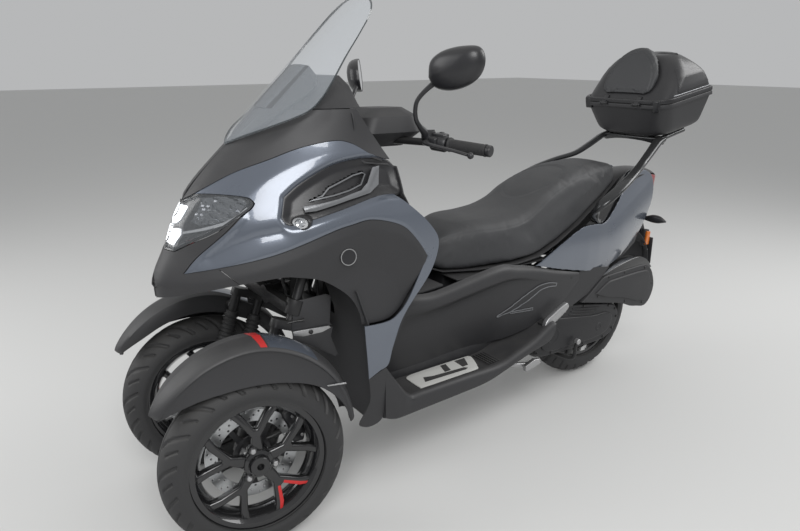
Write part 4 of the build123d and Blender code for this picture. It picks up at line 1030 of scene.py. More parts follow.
def strut(name, low, high, radius, wire, turns):
    """A coil spring between two points, drawn as a wire swept along a helix."""
    low, high = Vector(low), Vector(high)
    along = (high - low).normalized()
    side_way = along.orthogonal().normalized()
    other = along.cross(side_way)
    rows = []
    steps = int(turns * 20)
    for i in range(steps + 1):
        turn = 2 * pi * turns * i / steps
        out = side_way * cos(turn) + other * sin(turn)
        centre = low + (high - low) * (i / steps) + out * radius
        rows.append([centre + (out * cos(2 * pi * k / 8) + along * sin(2 * pi * k / 8)) * wire
            for k in range(8)])
    made = capped(grid_object(name, rows, wrap=True))
    smooth(made, 60)
    return made


hose = round_bar("hose", 0.005, mm([(735, 20, 790), (775, 70, 770), (800, 110, 720), (790, 105, 690),
    (770, 60, 660), (745, 25, 640)]), 10)
give(paired(hose, "arm_hoses"), soft_rubber, "chassis")
spring = strut("lean_strut_spring", (0.765, -0.07, 0.7), (0.765, 0.07, 0.716), 0.016, 0.0032, 8)
give(spring, cast_alloy, "chassis")
core = round_bar("lean_strut_core", 0.01, mm([(765, -100, 696), (765, 0, 708), (765, 100, 720)]))
give(core, black_steel, "chassis")
print("arms", len(spring.data.polygons))

# %% [markdown]
# ## The front body
# The nose of the scooter is one swelling form that thin moulded panels share: a matte upper cowl,
# painted side cowls, headlamps and a matte lower cowl, with dark joints between them. In side view
# every joint is a simple curve, so each panel is triangulated flat inside its joints and then laid
# on the common form. Creases, rolled edges and scoops are small offsets of that form, which keeps
# neighbouring panels in one flow, as on the real body.

# %% The common form
from mathutils.geometry import delaunay_2d_cdt
from mathutils.kdtree import KDTree

# Columns: height, tip, shoulder, half width
FORM_ROWS = mm([(200, 975, 560, 246), (330, 1040, 560, 258), (450, 1090, 560, 268), (620, 1135, 600, 274),
    (740, 1150, 640, 276), (840, 1105, 640, 276), (930, 1066, 630, 268), (1010, 1008, 600, 240),
    (1105, 909, 570, 206), (1200, 800, 560, 185)])
FORM_FINE = eased(FORM_ROWS, 12)


def form_at(height):
    """Tip, shoulder and half width of the front form at a height."""
    if height <= FORM_FINE[0][0]:
        return FORM_FINE[0][1:]
    for low, high in zip(FORM_FINE, FORM_FINE[1:]):
        if height <= high[0]:
            t = (height - low[0]) / max(high[0] - low[0], 1e-9)
            return tuple(a + (b - a) * t for a, b in zip(low[1:], high[1:]))
    return FORM_FINE[-1][1:]


def form_y(x, z):
    """Distance of the plain front form from the middle plane."""
    tip, shoulder, half = form_at(z)
    if x <= shoulder:
        return half
    radius = ((tip - shoulder) ** 2 + half ** 2) / (2 * half)
    inside = radius ** 2 - (x - shoulder) ** 2
    return half - radius + max(inside, 0) ** 0.5


# %% Joints between the panels, in side view
def curve_through(points, steps=6):
    """A smooth open curve through a few points."""
    return eased([tuple(p) for p in points], steps)


def smooth_ring(points, steps=3):
    """A smooth closed ring through points in millimetres, of which the last is the first again."""
    return curve_through(mm(points), steps)[:-1]


NOSE_JOINT = curve_through(mm([(1021, 979), (926, 1035), (831, 1073), (750, 1102), (663, 1117), (615, 1107),
    (567, 1078), (524, 1061)]))
LAMP_TOP = curve_through(mm([(1075, 948), (1021, 979), (997, 986), (951, 987), (907, 982), (895, 968)]))
LAMP_LOW = curve_through(mm([(1078, 838), (1046, 860), (992, 892), (947, 926), (908, 953), (895, 968)]))
TIP_EDGE = curve_through([(1.073, 0.784), (1.041, 0.825), (0.979, 0.887), LAMP_LOW[20]])
COWL_LOW = curve_through(mm([(1073, 784), (1038, 792), (1000, 801), (892, 828), (839, 844), (721, 884),
    (658, 897), (590, 902), (497, 873), (445, 826), (404, 768)]))
COWL_PATCH = curve_through(mm([(416, 746), (470, 646), (508, 604), (548, 588), (627, 590)]))
COWL_REAR = curve_through(mm([(503, 959), (449, 916), (395, 865), (362, 813), (371, 753), (402, 697),
    (458, 632), (496, 577), (526, 498), (541, 445), (572, 431), (609, 412)]))
BELLY = curve_through(mm([(1140, 706), (1107, 716), (1034, 739), (958, 758), (861, 772), (815, 767),
    (758, 752), (710, 723), (665, 683), (637, 635), (627, 590)]))
DUCT_RING = mm([(821, 978), (779, 1007), (722, 1036), (673, 1054), (618, 1063), (567, 1064), (509, 1052),
    (486, 1026), (482, 992), (486, 963), (560, 962), (693, 935), (750, 922), (818, 908), (837, 925),
    (835, 940)])
DUCT_EDGE = eased([tuple(p) for p in DUCT_RING + DUCT_RING[:1]], 4)[:-1]
DUCT_LOOP = DUCT_EDGE + DUCT_EDGE[:1]


def distance_to(points, x, z):
    """Distance from a point to a polyline, and its side: above is positive."""
    best, side = 1e9, 1
    for (ax, az), (bx, bz) in zip(points, points[1:]):
        dx, dz = bx - ax, bz - az
        length = dx * dx + dz * dz
        t = 0 if length == 0 else min(1, max(0, ((x - ax) * dx + (z - az) * dz) / length))
        gap = hypot(x - ax - t * dx, z - az - t * dz)
        if gap < best:
            best = gap
            side = 1 if (bx - ax) * (z - az) - (bz - az) * (x - ax) < 0 else -1
    return best, side


# %% Offsets of the form
SHOULDER_LINE = curve_through(mm([(975, 930), (900, 990), (820, 1040), (720, 1075), (610, 1088),
    (520, 1070)]))
SKIRT_LINE = [(x, z - 0.03) for x, z in COWL_LOW]
FACE_LINE = mm([(1010, 822), (960, 858), (905, 882), (850, 893)])


def bump_near(points, x, z, reach, power=2.0):
    """A weight that is 1 on a polyline and falls to 0 at the reach."""
    gap, _ = distance_to(points, x, z)
    return max(0.0, 1 - gap / reach) ** power


def paint_offset(x, z):
    """Offset of the painted side cowl: a ridge, a rolled duct edge and a raised tip rim."""
    out = 0.006 * bump_near(SHOULDER_LINE, x, z, 0.05, 1.3)
    out -= 0.014 * bump_near(DUCT_LOOP, x, z, 0.018)
    out -= 0.0022 * bump_near(COWL_LOW, x, z, 0.01)
    out -= 0.008 * bump_near(FACE_LINE, x, z, 0.045)
    gap, _ = distance_to(TIP_EDGE, x, z)
    out += 0.003 * max(0.0, min(1.0, (0.013 - gap) / 0.003))
    return out


def skirt_offset(x, z):
    """Offset of the matte lower cowl: a band under the joint and a skirt that turns inwards."""
    gap, side = distance_to(SKIRT_LINE, x, z)
    if side > 0:
        return 0.004 * max(0.0, 1 - gap / 0.03)
    return 0.004 - 0.18 * min(gap, 0.11)


NOSE_LINE = mm([(1030, 985), (900, 1072), (780, 1135), (690, 1200)])


def nose_offset(x, z):
    """Offset of the matte upper nose cowl: a long ridge each side of the middle."""
    return 0.007 * bump_near(NOSE_LINE, x, z, 0.04, 1.4)


def flat_offset(x, z):
    """No offset."""
    return 0.0


# %% Panels inside their joints
def drawn_in(ring, gap):
    """A closed ring moved inwards by a gap."""
    area = sum(a[0] * b[1] - b[0] * a[1] for a, b in zip(ring, ring[1:] + ring[:1]))
    turn = 1 if area > 0 else -1
    out = []
    for i, (x, z) in enumerate(ring):
        before, after = ring[i - 1], ring[(i + 1) % len(ring)]
        along = Vector((after[0] - before[0], after[1] - before[1]))
        if along.length > 1e-6:
            along.normalize()
            out.append((x - along.y * gap * turn, z + along.x * gap * turn))
    return out


def inside_ring(ring, x, z):
    """True if a point lies in a closed ring."""
    hit = False
    for (ax, az), (bx, bz) in zip(ring, ring[1:] + ring[:1]):
        if (az > z) != (bz > z) and x < (bx - ax) * (z - az) / (bz - az) + ax:
            hit = not hit
    return hit


def dense_ring(ring, spacing):
    """A ring with points at the spacing, held behind the nose line."""
    out = []
    for a, b in zip(ring, ring[1:] + ring[:1]):
        count = max(1, round(hypot(b[0] - a[0], b[1] - a[1]) / spacing))
        for k in range(count):
            x, z = a[0] + (b[0] - a[0]) * k / count, a[1] + (b[1] - a[1]) * k / count
            spot = (min(x, form_at(z)[0]), z)
            if not out or hypot(spot[0] - out[-1][0], spot[1] - out[-1][1]) > spacing * 0.25:
                out.append(spot)
    if hypot(out[0][0] - out[-1][0], out[0][1] - out[-1][1]) < spacing * 0.25:
        out.pop()
    return out


# %% Laying a point on the form
def laid_on_form(x, z, offset, depth):
    """The place of a side-view point on the front form, blunted at the nose line."""
    y = form_y(min(x, form_at(z)[0]), z) - depth + offset(x, z)
    if y < 0:
        x += 0.55 * y
        y = 0.0
    return (x - 0.011 * 2.718 ** -((y / 0.022) ** 2), y, z)


# %% Triangles inside a ring
def filled(loops, spacing):
    """Points and triangles inside the first closed loop and outside the others."""
    points, edges = [], []
    for loop in loops:
        start = len(points)
        points += loop
        edges += [(start + k, start + (k + 1) % len(loop)) for k in range(len(loop))]
    rim = KDTree(len(points))
    for k, (x, z) in enumerate(points):
        rim.insert((x, z, 0), k)
    rim.balance()
    (low_x, high_x), (low_z, high_z) = [(min(line), max(line)) for line in zip(*loops[0])]
    for row in range(int((high_z - low_z) / (spacing * 0.866)) + 1):
        z = low_z + spacing * (0.5 + 0.866 * row)
        for column in range(int((high_x - low_x) / spacing) + 1):
            x = low_x + spacing * (column + 0.5 * (row % 2))
            if rim.find((x, z, 0))[2] < spacing * 0.55 or not inside_ring(loops[0], x, z):
                continue
            if not any(inside_ring(hole, x, z) for hole in loops[1:]):
                points.append((x, z))
    flat, _, tris = delaunay_2d_cdt([Vector(p) for p in points], edges, [], 1, 1e-6)[:3]
    kept = []
    for tri in tris:
        x, z = sum(flat[i].x for i in tri) / 3, sum(flat[i].y for i in tri) / 3
        if not any(inside_ring(hole, x, z) for hole in loops[1:]):
            kept.append(tuple(tri))
    return flat, kept


# %% Panels on the form
def form_panel(name, ring, offset=flat_offset, depth=0.0, spacing=0.008, holes=(), wall=0.0035, gap=0.0007):
    """A panel on the front form inside a side-view ring, on both sides of the middle plane."""
    loops = [dense_ring(drawn_in(ring, gap), spacing)]
    loops += [dense_ring(drawn_in(hole, -gap), spacing) for hole in holes]
    flat, kept = filled(loops, spacing)
    piece = new_piece(name, [laid_on_form(p.x, p.y, offset, depth) for p in flat], [], kept)
    modified(piece, "MIRROR", use_axis=(False, True, False), use_clip=True, merge_threshold=0.0006)
    outward(piece)
    if sum(1 if face.normal.y * face.center.y > 0 else -1 for face in piece.data.polygons) < 0:
        piece.data.flip_normals()
    if wall > 0:
        modified(piece, "SOLIDIFY", thickness=wall, offset=-1, use_even_offset=False)
    smooth(piece, 38)
    return piece


# %% [markdown]
# ### Panels
# The rings below follow the joints from one panel to the next. Paint covers the side cowl and the
# strip down the edge of the leg shield, and the rest is grained matte plastic.

# %% Painted and matte panels
nose_ring = LAMP_TOP[:7] + NOSE_JOINT[1:] + mm([(502, 1058), (588, 1199), (900, 1199), (1120, 980)])
cowl_ring = (TIP_EDGE + LAMP_LOW[21:] + LAMP_TOP[::-1][1:24] + NOSE_JOINT
    + mm([(510, 1053), (498, 1020)]) + COWL_REAR + COWL_PATCH[::-1] + COWL_LOW[::-1][:-1])
chin_ring = BELLY[:19] + COWL_LOW[1:13][::-1] + TIP_EDGE + LAMP_LOW[:20][::-1] + mm([(1120, 838),
    (1140, 780)])
skirt_ring = BELLY[18:] + COWL_PATCH[::-1][1:] + COWL_LOW[12:][::-1]
corner_ring = curve_through(mm([(609, 412), (603, 330), (634, 268), (628, 250), (593, 241), (552, 262),
    (548, 350), (550, 438)]), 4)
PANELS = [("upper_nose_cowl", nose_ring, nose_offset, 0.008, (), matte_black, ("nose_cowl",)),
    ("painted_side_cowls", cowl_ring, paint_offset, 0.0055, (DUCT_EDGE,), paint, ("side_cowls",)),
    ("chin_cowl", chin_ring, skirt_offset, 0.007, (), matte_black, ("lower_cowls",)),
    ("skirt_cowls", skirt_ring, skirt_offset, 0.007, (), matte_black, ("lower_cowls",)),
    ("shield_corners", corner_ring, flat_offset, 0.01, (), matte_black, ("lower_cowls",))]
for name, ring, offset, spacing, holes, material, replaced in PANELS:
    panel = form_panel(name, ring, offset, spacing=spacing, holes=holes)
    give(panel, material, "chassis", *replaced)
    print(name, len(panel.data.polygons))


# %% Backing of the seams
def seam_backing(name, line, half):
    """A dark strip behind a joint, so that no light comes through it."""
    over, under = [], []
    for before, (x, z), after in zip(line[:1] + line, line, line[1:] + line[-1:]):
        along = Vector((after[0] - before[0], after[1] - before[1]))
        if along.length < 1e-6:
            continue
        along.normalize()
        over.append((x - along.y * half, z + along.x * half))
        under.append((x + along.y * half, z - along.x * half))
    strip = form_panel(name, over + under[::-1], flat_offset, depth=0.005, spacing=0.01, wall=0.0015, gap=0.0)
    give(strip, matte_black, "chassis")


for name, line in (("cowl_seam_backing", COWL_LOW), ("nose_seam_backing", NOSE_JOINT),
        ("tip_seam_backing", TIP_EDGE)):
    seam_backing(name, line, 0.008)
print("seam backings")

# %% [markdown]
# ### Air ducts
# Behind the oval opening of each side cowl a black tray is set back, and a grey vane runs along
# its lower edge and turns up at the rear. A thin rim frames the slot above the vane.

# %% Duct tray, rim and vane
VANE_RING = mm([(783, 956), (740, 960), (685, 968), (647, 977), (612, 984), (588, 1000), (560, 1040),
    (536, 1042), (550, 992), (584, 972), (657, 961), (752, 941), (782, 940)])
SLOT_RING = mm([(763, 964), (722, 978), (700, 996), (622, 1023), (590, 1028), (580, 1021), (600, 994),
    (640, 982), (690, 973)])


def tray_offset(x, z):
    """The tray sinks away from its rim and again inside the slot."""
    gap, _ = distance_to(DUCT_LOOP, x, z)
    down = 0.011 * min(1.0, gap / 0.022)
    if inside_ring(SLOT_RING, x, z):
        down += 0.012
    return -down


VANE_LINE = mm([(780, 948), (655, 969), (592, 984), (548, 1040)])


def vane_offset(x, z):
    """A vane with a ridge along its length."""
    return 0.004 * bump_near(VANE_LINE, x, z, 0.012, 1.0)


tray_ring = drawn_in(DUCT_EDGE, -0.006)
tray = form_panel("duct_trays", tray_ring, tray_offset, depth=0.0125, spacing=0.005, wall=0.0025)
give(tray, satin_black, "chassis", "duct_panels")
vane = form_panel("duct_vanes", VANE_RING, vane_offset, depth=0.0095, spacing=0.004, wall=0.004)
give(vane, grey_satin, "chassis")
slot_rim = form_panel("duct_slot_rims", SLOT_RING, flat_offset, depth=0.02, spacing=0.004,
    holes=(drawn_in(SLOT_RING, 0.0035),), wall=0.004, gap=0.0)
give(slot_rim, grey_satin, "chassis")
print("duct", len(tray.data.polygons), len(vane.data.polygons))

# %% [markdown]
# ### Headlamps
# A clear lens closes each lamp. Behind it a black frame carries a bright faceted reflector, a
# light bar along its lower edge and, next to the middle, two white daylight facets.

# %% Lens, frame and reflectors
lamp_ring = LAMP_TOP + LAMP_LOW[::-1][1:] + mm([(1120, 838), (1120, 948)])
REFLECTOR_RING = mm([(995, 975), (966, 981), (936, 982), (915, 978), (908, 966), (925, 947), (953, 925),
    (989, 912), (1018, 908), (1032, 916)])
BAR_RING = mm([(1054, 890), (1010, 905), (968, 921), (937, 939), (914, 958), (910, 955), (935, 932),
    (966, 914), (1009, 897), (1054, 883)])
WHITE_UP = mm([(1100, 953), (1032, 955), (1056, 919), (1072, 906), (1100, 906)])
WHITE_LOW = mm([(1110, 888), (1058, 897), (1060, 882), (1081, 852), (1110, 860)])


def facet_offset(x, z):
    """Small steps of a cut reflector."""
    return 0.0022 * ((int(x / 0.009) * 7 + int(z / 0.007) * 5) % 4) - 0.004


lens = form_panel("headlamp_lenses", lamp_ring, flat_offset, depth=0.0006, wall=0.0022, gap=0.0012)
give(lens, lens_clear, "chassis", "headlamps")
border = form_panel("headlamp_borders", lamp_ring, flat_offset, depth=0.0032, spacing=0.006,
    holes=(drawn_in(lamp_ring, 0.0055),), wall=0.01, gap=0.0008)
give(border, gloss_black, "chassis", "headlamps")
backing = form_panel("headlamp_backings", drawn_in(lamp_ring, 0.004), flat_offset, depth=0.017, wall=0.002)
give(backing, gloss_black, "chassis", "headlamps")
reflector = form_panel("headlamp_reflectors", REFLECTOR_RING, facet_offset, depth=0.009, spacing=0.005,
    wall=0.002)
finished(reflector, 4, smoked_chrome, "chassis")
bar = form_panel("headlamp_bars", BAR_RING, flat_offset, depth=0.005, spacing=0.004, wall=0.004)
give(bar, chrome, "chassis")
for name, ring in (("daylight_upper", WHITE_UP), ("daylight_lower", WHITE_LOW)):
    facet = form_panel(name, ring, flat_offset, depth=0.0034, spacing=0.006, wall=0.006)
    give(facet, lamp_white, "chassis")

# %% [markdown]
# ### Front indicators and cowl rings
# Each indicator is a black pod with an oval lens that looks ahead and outwards. A plain ring with
# a disc in it closes the round seat in each side cowl.

# %% Indicators
POD_AIM = (0.8, 0.6, -0.06)
pod = spun("indicator_pods", mm([(0, -60), (8, -56), (17, -36), (23.5, -10), (24.5, 0), (23.5, 3),
    (20.5, 3), (20, -4), (0, -4)]), 40, False)
glass = spun("indicator_lenses", mm([(0, 15), (9, 12.5), (16.5, 8), (21.2, 2.2), (21.2, 0), (0, 0)]), 40,
    False)
rays = spun("indicator_rays", mm([(0, 10), (6, 4), (10, 7.5), (14, 2.5), (19.5, 2), (19.5, -3), (0, -3)]),
    12, False)
for piece, material, replaced in ((pod, satin_black, ("indicators",)), (glass, lens_clear, ()),
        (rays, chrome, ())):
    piece.data.transform(Matrix.Diagonal((1.18, 1, 0.8, 1)))
    aimed(piece, (0.8, 0.24, 0.916), POD_AIM)
    mirrored(piece)
    smooth(piece, 35 if piece is not rays else 5)
    give(piece, material, "chassis", *replaced)

# %% Cowl rings
ring = spun("badge_rings", mm([(21.5, 0), (23.5, 0), (24, 1.2), (23.5, 2.4), (21.5, 2.4), (21, 1.2)]), 48)
plate_disc = spun("badge_discs", mm([(0, 0), (20.5, 0), (20.5, 1), (0, 1.4)]), 48, False)
for piece, material in ((ring, cast_alloy), (plate_disc, satin_black)):
    aimed(piece, (0.676, 0.2742, 0.809), (0.12, 1, 0.05))
    finished(mirrored(piece), 35, material, "chassis")

# %% [markdown]
# ## Pieces that keep their CAD form
# Panels whose CAD form is right get a softened copy each. The width of the rounding is about what
# the mould of such a panel would leave on its edges.

# %% Softened copies of the plain panels
SOFTENED = [("tunnel_cover", 0.0012, matte_black, "chassis"),
    ("leg_shield", 0.0012, matte_black, "chassis"),
    ("front_liner", 0.001, matte_black, "chassis"),
    ("dash_cowl", 0.006, matte_black, "chassis"),
    ("belly_pan", 0.006, matte_black, "chassis"),
    ("plate_holder", 0.002, matte_black, "chassis"),
    ("fuel_lid", 0.0012, matte_black, "fuel_lid"),
    ("storage_tub", 0.001, matte_black, "chassis"),
    ("seat_pan", 0.001, matte_black, "seat"),
    ("tail_lamp", 0.004, red_lens, "chassis"),
    ("swing_arm", 0.004, black_steel, "chassis"),
    ("engine", 0.003, engine_grey, "chassis"),
    ("radiator", 0.0015, black_steel, "chassis"),
    ("handlebar_cowl", 0.01, matte_black, "handlebar")]
for name, width, material, body in SOFTENED:
    piece = softened(name, width)
    give(piece, material, body, name)
print("softened", len(SOFTENED))

# %% [markdown]
# ## Windscreen
# The screen is a cone-like sheet. It is triangulated in front view and wrapped on the cone, with
# a raised middle band as on the real screen, and two black blades behind it hold it to the dash.

# %% Sheets inside a ring, laid on any surface
def ring_sheet(name, ring, place, spacing):
    """A triangulated sheet inside a flat ring, laid on a surface by the given function."""
    loop = []
    for a, b in zip(ring, ring[1:] + ring[:1]):
        count = max(1, round(hypot(b[0] - a[0], b[1] - a[1]) / spacing))
        loop += [(a[0] + (b[0] - a[0]) * k / count, a[1] + (b[1] - a[1]) * k / count) for k in range(count)]
    flat, kept = filled([loop], spacing)
    made = new_piece(name, [place(p.x, p.y) for p in flat], [], kept)
    outward(made)
    return made


# %% Screen and blades
SCREEN_EDGE = curve_through(mm([(0, 1107), (40, 1123), (110, 1155), (160, 1190), (170, 1225), (165, 1275),
    (150, 1340), (136, 1400), (118, 1450), (85, 1485), (40, 1501), (0, 1504)]), 5)
SCREEN_RING = SCREEN_EDGE + [(-y, z) for y, z in SCREEN_EDGE[-2:0:-1]]


def on_screen(y, z, inset=0.0):
    """A point of the screen's cone at a side distance and a height."""
    t = (z - 1.095) / 0.42
    front, radius = 0.914 + (0.452 - 0.914) * t, 0.185 + 0.105 * t
    centre = front - radius
    reach = max((radius - inset) ** 2 - y * y, 0.0)
    return (centre + reach ** 0.5, y, z)


def screen_place(y, z):
    """The screen's outer face with its raised middle band."""
    half = 0.034 + 0.03 * (z - 1.107) / 0.4
    band = max(0.0, min(1.0, (half - abs(y)) / 0.006))
    return on_screen(y, z, -0.0022 * band)


screen = ring_sheet("clear_windscreen", SCREEN_RING, screen_place, 0.0085)
trimmed(screen, (1, 0, 0.5), 0.0036)
finished(screen, 40, screen_clear, "chassis", "windscreen")

# %% Edge and blades of the screen
edge_rows = []
for y, z in SCREEN_RING + SCREEN_RING[:1]:
    out = Vector(on_screen(y, z, -0.0012))
    back = Vector(on_screen(y * 0.985, z, 0.0048))
    centre = Vector((0, 0, 1.3))
    push = Vector((0, y, z)) - centre
    push.normalize()
    edge_rows.append([out + push * 0.0008, out - push * 0.0022, back - push * 0.0022, back + push * 0.0008])
screen_edge = grid_object("screen_edge", edge_rows, wrap=True)
outward(screen_edge)
finished(screen_edge, 40, screen_rim, "chassis")

BLADE_RING = mm([(16, 1128), (26, 1172), (30, 1209), (40, 1246), (66, 1280), (93, 1286), (126, 1266),
    (124, 1236), (102, 1202), (80, 1163), (36, 1128)])
for side in (1, -1):
    ring = [(side * y, z) for y, z in curve_through(BLADE_RING + BLADE_RING[:1], 3)[:-1]]
    blade = ring_sheet("screen_blade_" + ("left" if side > 0 else "right"), ring,
        lambda y, z: on_screen(y, z, 0.008), 0.01)
    trimmed(blade, (1, 0, 0.5), 0.01, 0.003, 3, 50)
    finished(blade, 45, satin_black, "chassis")
print("screen", len(screen.data.polygons))

# %% [markdown]
# ## Side covers and their ornaments
# Each cover swells from its lower edge to a rounded shoulder near the seat. Its sections are
# short curves at a few stations, filled in smoothly both ways. A bent bar with a raised rim
# decorates the rear corner, and one screw holds the cover there.

# %% Side covers
# Columns: x, then y and z of six points from the foot of the cover to its top edge
COVER_STATIONS = mm([(536, 130, 372, 145, 395, 160, 418, 174, 436, 172, 444, 166, 448),
    (440, 124, 330, 150, 415, 170, 495, 199, 556, 199, 586, 184, 602),
    (300, 124, 330, 150, 425, 176, 520, 206, 560, 205, 592, 184, 607),
    (40, 124, 330, 158, 440, 184, 560, 209, 592, 206, 628, 186, 644),
    (-60, 158, 345, 178, 440, 190, 560, 207, 590, 203, 616, 186, 631),
    (-166, 190, 380, 196, 450, 197, 540, 203, 566, 199, 592, 184, 606),
    (-290, 194, 424, 195, 470, 195, 515, 197, 534, 194, 556, 184, 568),
    (-405, 188, 510, 189, 513, 189, 518, 189, 524, 188, 532, 184, 540)])
COVER_GRID = []
for row in eased(COVER_STATIONS, 7):
    line = eased([(row[k], row[k + 1]) for k in range(1, len(row), 2)], 6)
    COVER_GRID.append([(row[0], y, z) for y, z in line])


def cover_y(x, z):
    """Distance of the cover's outer face from the middle plane."""
    rows = COVER_GRID
    for first, second in zip(rows, rows[1:]):
        if second[0][0] <= x <= first[0][0]:
            line = first if abs(first[0][0] - x) < abs(second[0][0] - x) else second
            for low, high in zip(line, line[1:]):
                if low[2] <= z <= high[2]:
                    t = (z - low[2]) / max(high[2] - low[2], 1e-9)
                    return low[1] + (high[1] - low[1]) * t
            return line[0][1] if z < line[0][2] else line[-1][1]
    return 0.19


# %% Cover shells
cover = grid_object("side_covers", COVER_GRID)
mirrored(cover)
outward(cover)
if sum(face.normal.y * (1 if face.center.y > 0 else -1) for face in cover.data.polygons) < 0:
    cover.data.flip_normals()
walled(cover, 0.0035)
finished(cover, 40, matte_black, "chassis", "body_covers")

# %% Ornament and screw
ORNAMENT = mm([(0, 441, 1.5), (-50, 463, 8.5), (-100, 489, 12.5), (-150, 514, 12), (-182, 526, 9.5),
    (-225, 528, 8), (-266, 521, 5.5)])
FOOT = mm([(-52, 450.5, 3), (-100, 450, 3.6), (-148, 449, 4.2)])


def ribbon_ring(stations, steps):
    """The closed outline of a ribbon along x and z stations with half widths."""
    line = eased(stations, steps)
    upper, lower = [], []
    for index, (x, z, half) in enumerate(line):
        ahead, behind = line[min(index + 1, len(line) - 1)], line[max(index - 1, 0)]
        along = Vector((ahead[0] - behind[0], ahead[1] - behind[1])).normalized()
        upper.append((x - along.y * half, z + along.x * half))
        lower.append((x + along.y * half, z - along.x * half))
    return upper + lower[::-1]


def on_cover(lift):
    """A function that lays side-view points on the cover with a lift."""
    return lambda x, z: (x, cover_y(x, z) + lift, z)


for name, stations in (("ornament", ORNAMENT), ("ornament_foot", FOOT)):
    ring = ribbon_ring(stations, 5)
    plate_in = ring_sheet(name + "_inlays", ring, on_cover(0.0022), 0.007)
    trimmed(plate_in, (0, 1, 0), 0.004)
    rim = swept(name + "_rims", [(x, cover_y(x, z) + 0.0026, z, 0.002, 0.0018) for x, z in ring + ring[:1]],
        up=(0, 1, 0), steps=1, sides=8)
    for piece, material in ((rim, grey_satin), (plate_in, satin_black)):
        finished(mirrored(piece), 40, material, "chassis")
screw = spun("cover_screws", mm([(0, 0.8), (2.2, 1), (2.4, 2.6), (6.2, 2.4), (7, 1), (7, -2), (0, -2)]), 20,
    False)
aimed(screw, (-0.354, 0.1905, 0.529), (0, 1, 0))
finished(mirrored(screw), 35, black_steel, "chassis")
print("cover", len(cover.data.polygons))

# %% [markdown]
# ## Floorboards, mats and belly
# The floorboard is a shelf with a rolled outer edge that climbs towards the rear. Its profile is
# swept outwards in a few steps, so the edge can be rounded and the tread sunk a little. The mat
# is a pale panel with dark slots that grip the shoe.

# %% Floorboards
# Columns: y, drop of the top, rise of the bottom
FLOOR_EDGE = mm([(112, 0, 0), (150, 0, 0), (225, 0, 0), (238, -5, 1), (250, -4, 3), (258, 1, 6),
    (262, 9, 13)])
FLOOR_TOP = eased(mm([(548, 438), (500, 366), (450, 304), (400, 300), (200, 300), (60, 300), (-20, 321),
    (-110, 350), (-190, 392), (-214, 396)]), 4)
FLOOR_LOW = eased(mm([(548, 252), (520, 240), (490, 235), (400, 238), (250, 243), (121, 250), (20, 275),
    (-80, 303), (-190, 332), (-212, 384)]), 4)
floor_rows = []
for y, drop, rise in FLOOR_EDGE:
    under = [(x, y, z + rise) for x, z in FLOOR_LOW[::-1]]
    floor_rows.append([(x, y, z - drop) for x, z in FLOOR_TOP] + under)
board = grid_object("foot_boards", floor_rows, wrap=True)
bm = bmesh.new()
bm.from_mesh(board.data)
bm.verts.ensure_lookup_table()
count = len(floor_rows[0])
bm.faces.new([bm.verts[k] for k in range(count)])
bm.faces.new([bm.verts[(len(floor_rows) - 1) * count + k] for k in range(count)][::-1])
bmesh.ops.triangulate(bm, faces=[face for face in bm.faces if len(face.verts) > 4])
bm.to_mesh(board.data)
bm.free()
outward(board)
finished(mirrored(board), 38, matte_black, "chassis", "floorboards")

lip = plate("board_lip", mm([(548, 438), (450, 338), (60, 338), (-60, 345), (-60, 300), (450, 280),
    (548, 300)]), 0.012, bevel=0.002)
moved(lip, 0, 0.112, 0)
mirrored(lip)
smooth(lip)
give(lip, matte_black, "chassis")

# %% Foot mats
MAT_RING = smooth_ring([(388, 150), (388, 226), (374, 233), (165, 233), (130, 214), (100, 150),
    (104, 136), (120, 132), (300, 132), (372, 136), (388, 150)])
MAT_SLOTS = [mm([(236, 139), (212, 139), (226, 186), (252, 186)]),
    mm([(172, 139), (126, 139), (150, 188), (176, 190)]),
    mm([(338, 176), (306, 186), (176, 196), (166, 206), (180, 212), (352, 206)])]


def on_floor(height):
    """A function that lays points in plan on a level."""
    return lambda x, y: (x, y, height)


mat = ring_sheet("pale_foot_mats", MAT_RING, on_floor(0.3032), 0.02)
trimmed(mat, (0, 0, 1), 0.003, 0.001)
finished(mirrored(mat), 40, mat_pale, "chassis", "foot_mats")
slots = []
for index, ring in enumerate(MAT_SLOTS):
    slot = ring_sheet("mat_slot_%d" % index, ring, on_floor(0.3044), 0.02)
    trimmed(slot, (0, 0, 1), 0.0016, 0.0006, 1, 50)
    slots.append(slot)
for rib in range(9):
    bpy.ops.mesh.primitive_cube_add(size=1, location=(0.085 - rib * 0.012, 0.184, 0.3035))
    bar = bpy.context.object
    bar.data.transform(Matrix.Diagonal((0.005, 0.086, 0.004, 1)))
    bar.data.transform(Matrix.Translation(bar.location))
    bar.location = (0, 0, 0)
    modified(bar, "BEVEL", width=0.0012, segments=2)
    slots.append(bar)
slots = joined("mat_slots", slots)
finished(mirrored(slots), 35, soft_rubber, "chassis")
print("floor", len(board.data.polygons))

# %% [markdown]
# ## Seat and backrest pad
# The two-step seat is foam under a stretched vinyl cover. Foam swells between the places that hold
# it down, so each cushion starts a little smaller than its CAD solid, is filled by a cloth
# simulation under pressure, and keeps its size because no point may travel far. The dished inset
# and the seams come afterwards, as small moves of the finished skin.

# %% Swollen cushions
def swollen(made, pressure, cap):
    """Fill the cushion by a cloth simulation, with the travel of each point capped."""
    start = [vertex.co.copy() for vertex in made.data.vertices]
    picked(made)
    cloth = made.modifiers.new("fill", "CLOTH")
    cloth.settings.quality = 4
    cloth.settings.use_pressure = True
    cloth.settings.uniform_pressure_force = pressure
    cloth.settings.effector_weights.gravity = 0
    for step in range(1, 21):
        bpy.context.scene.frame_set(step)
    bpy.ops.object.modifier_apply(modifier="fill")
    bpy.context.scene.frame_set(1)
    for vertex, origin in zip(made.data.vertices, start):
        travel = vertex.co - origin
        if travel.length > cap:
            vertex.co = origin + travel * (cap / travel.length)
    return made


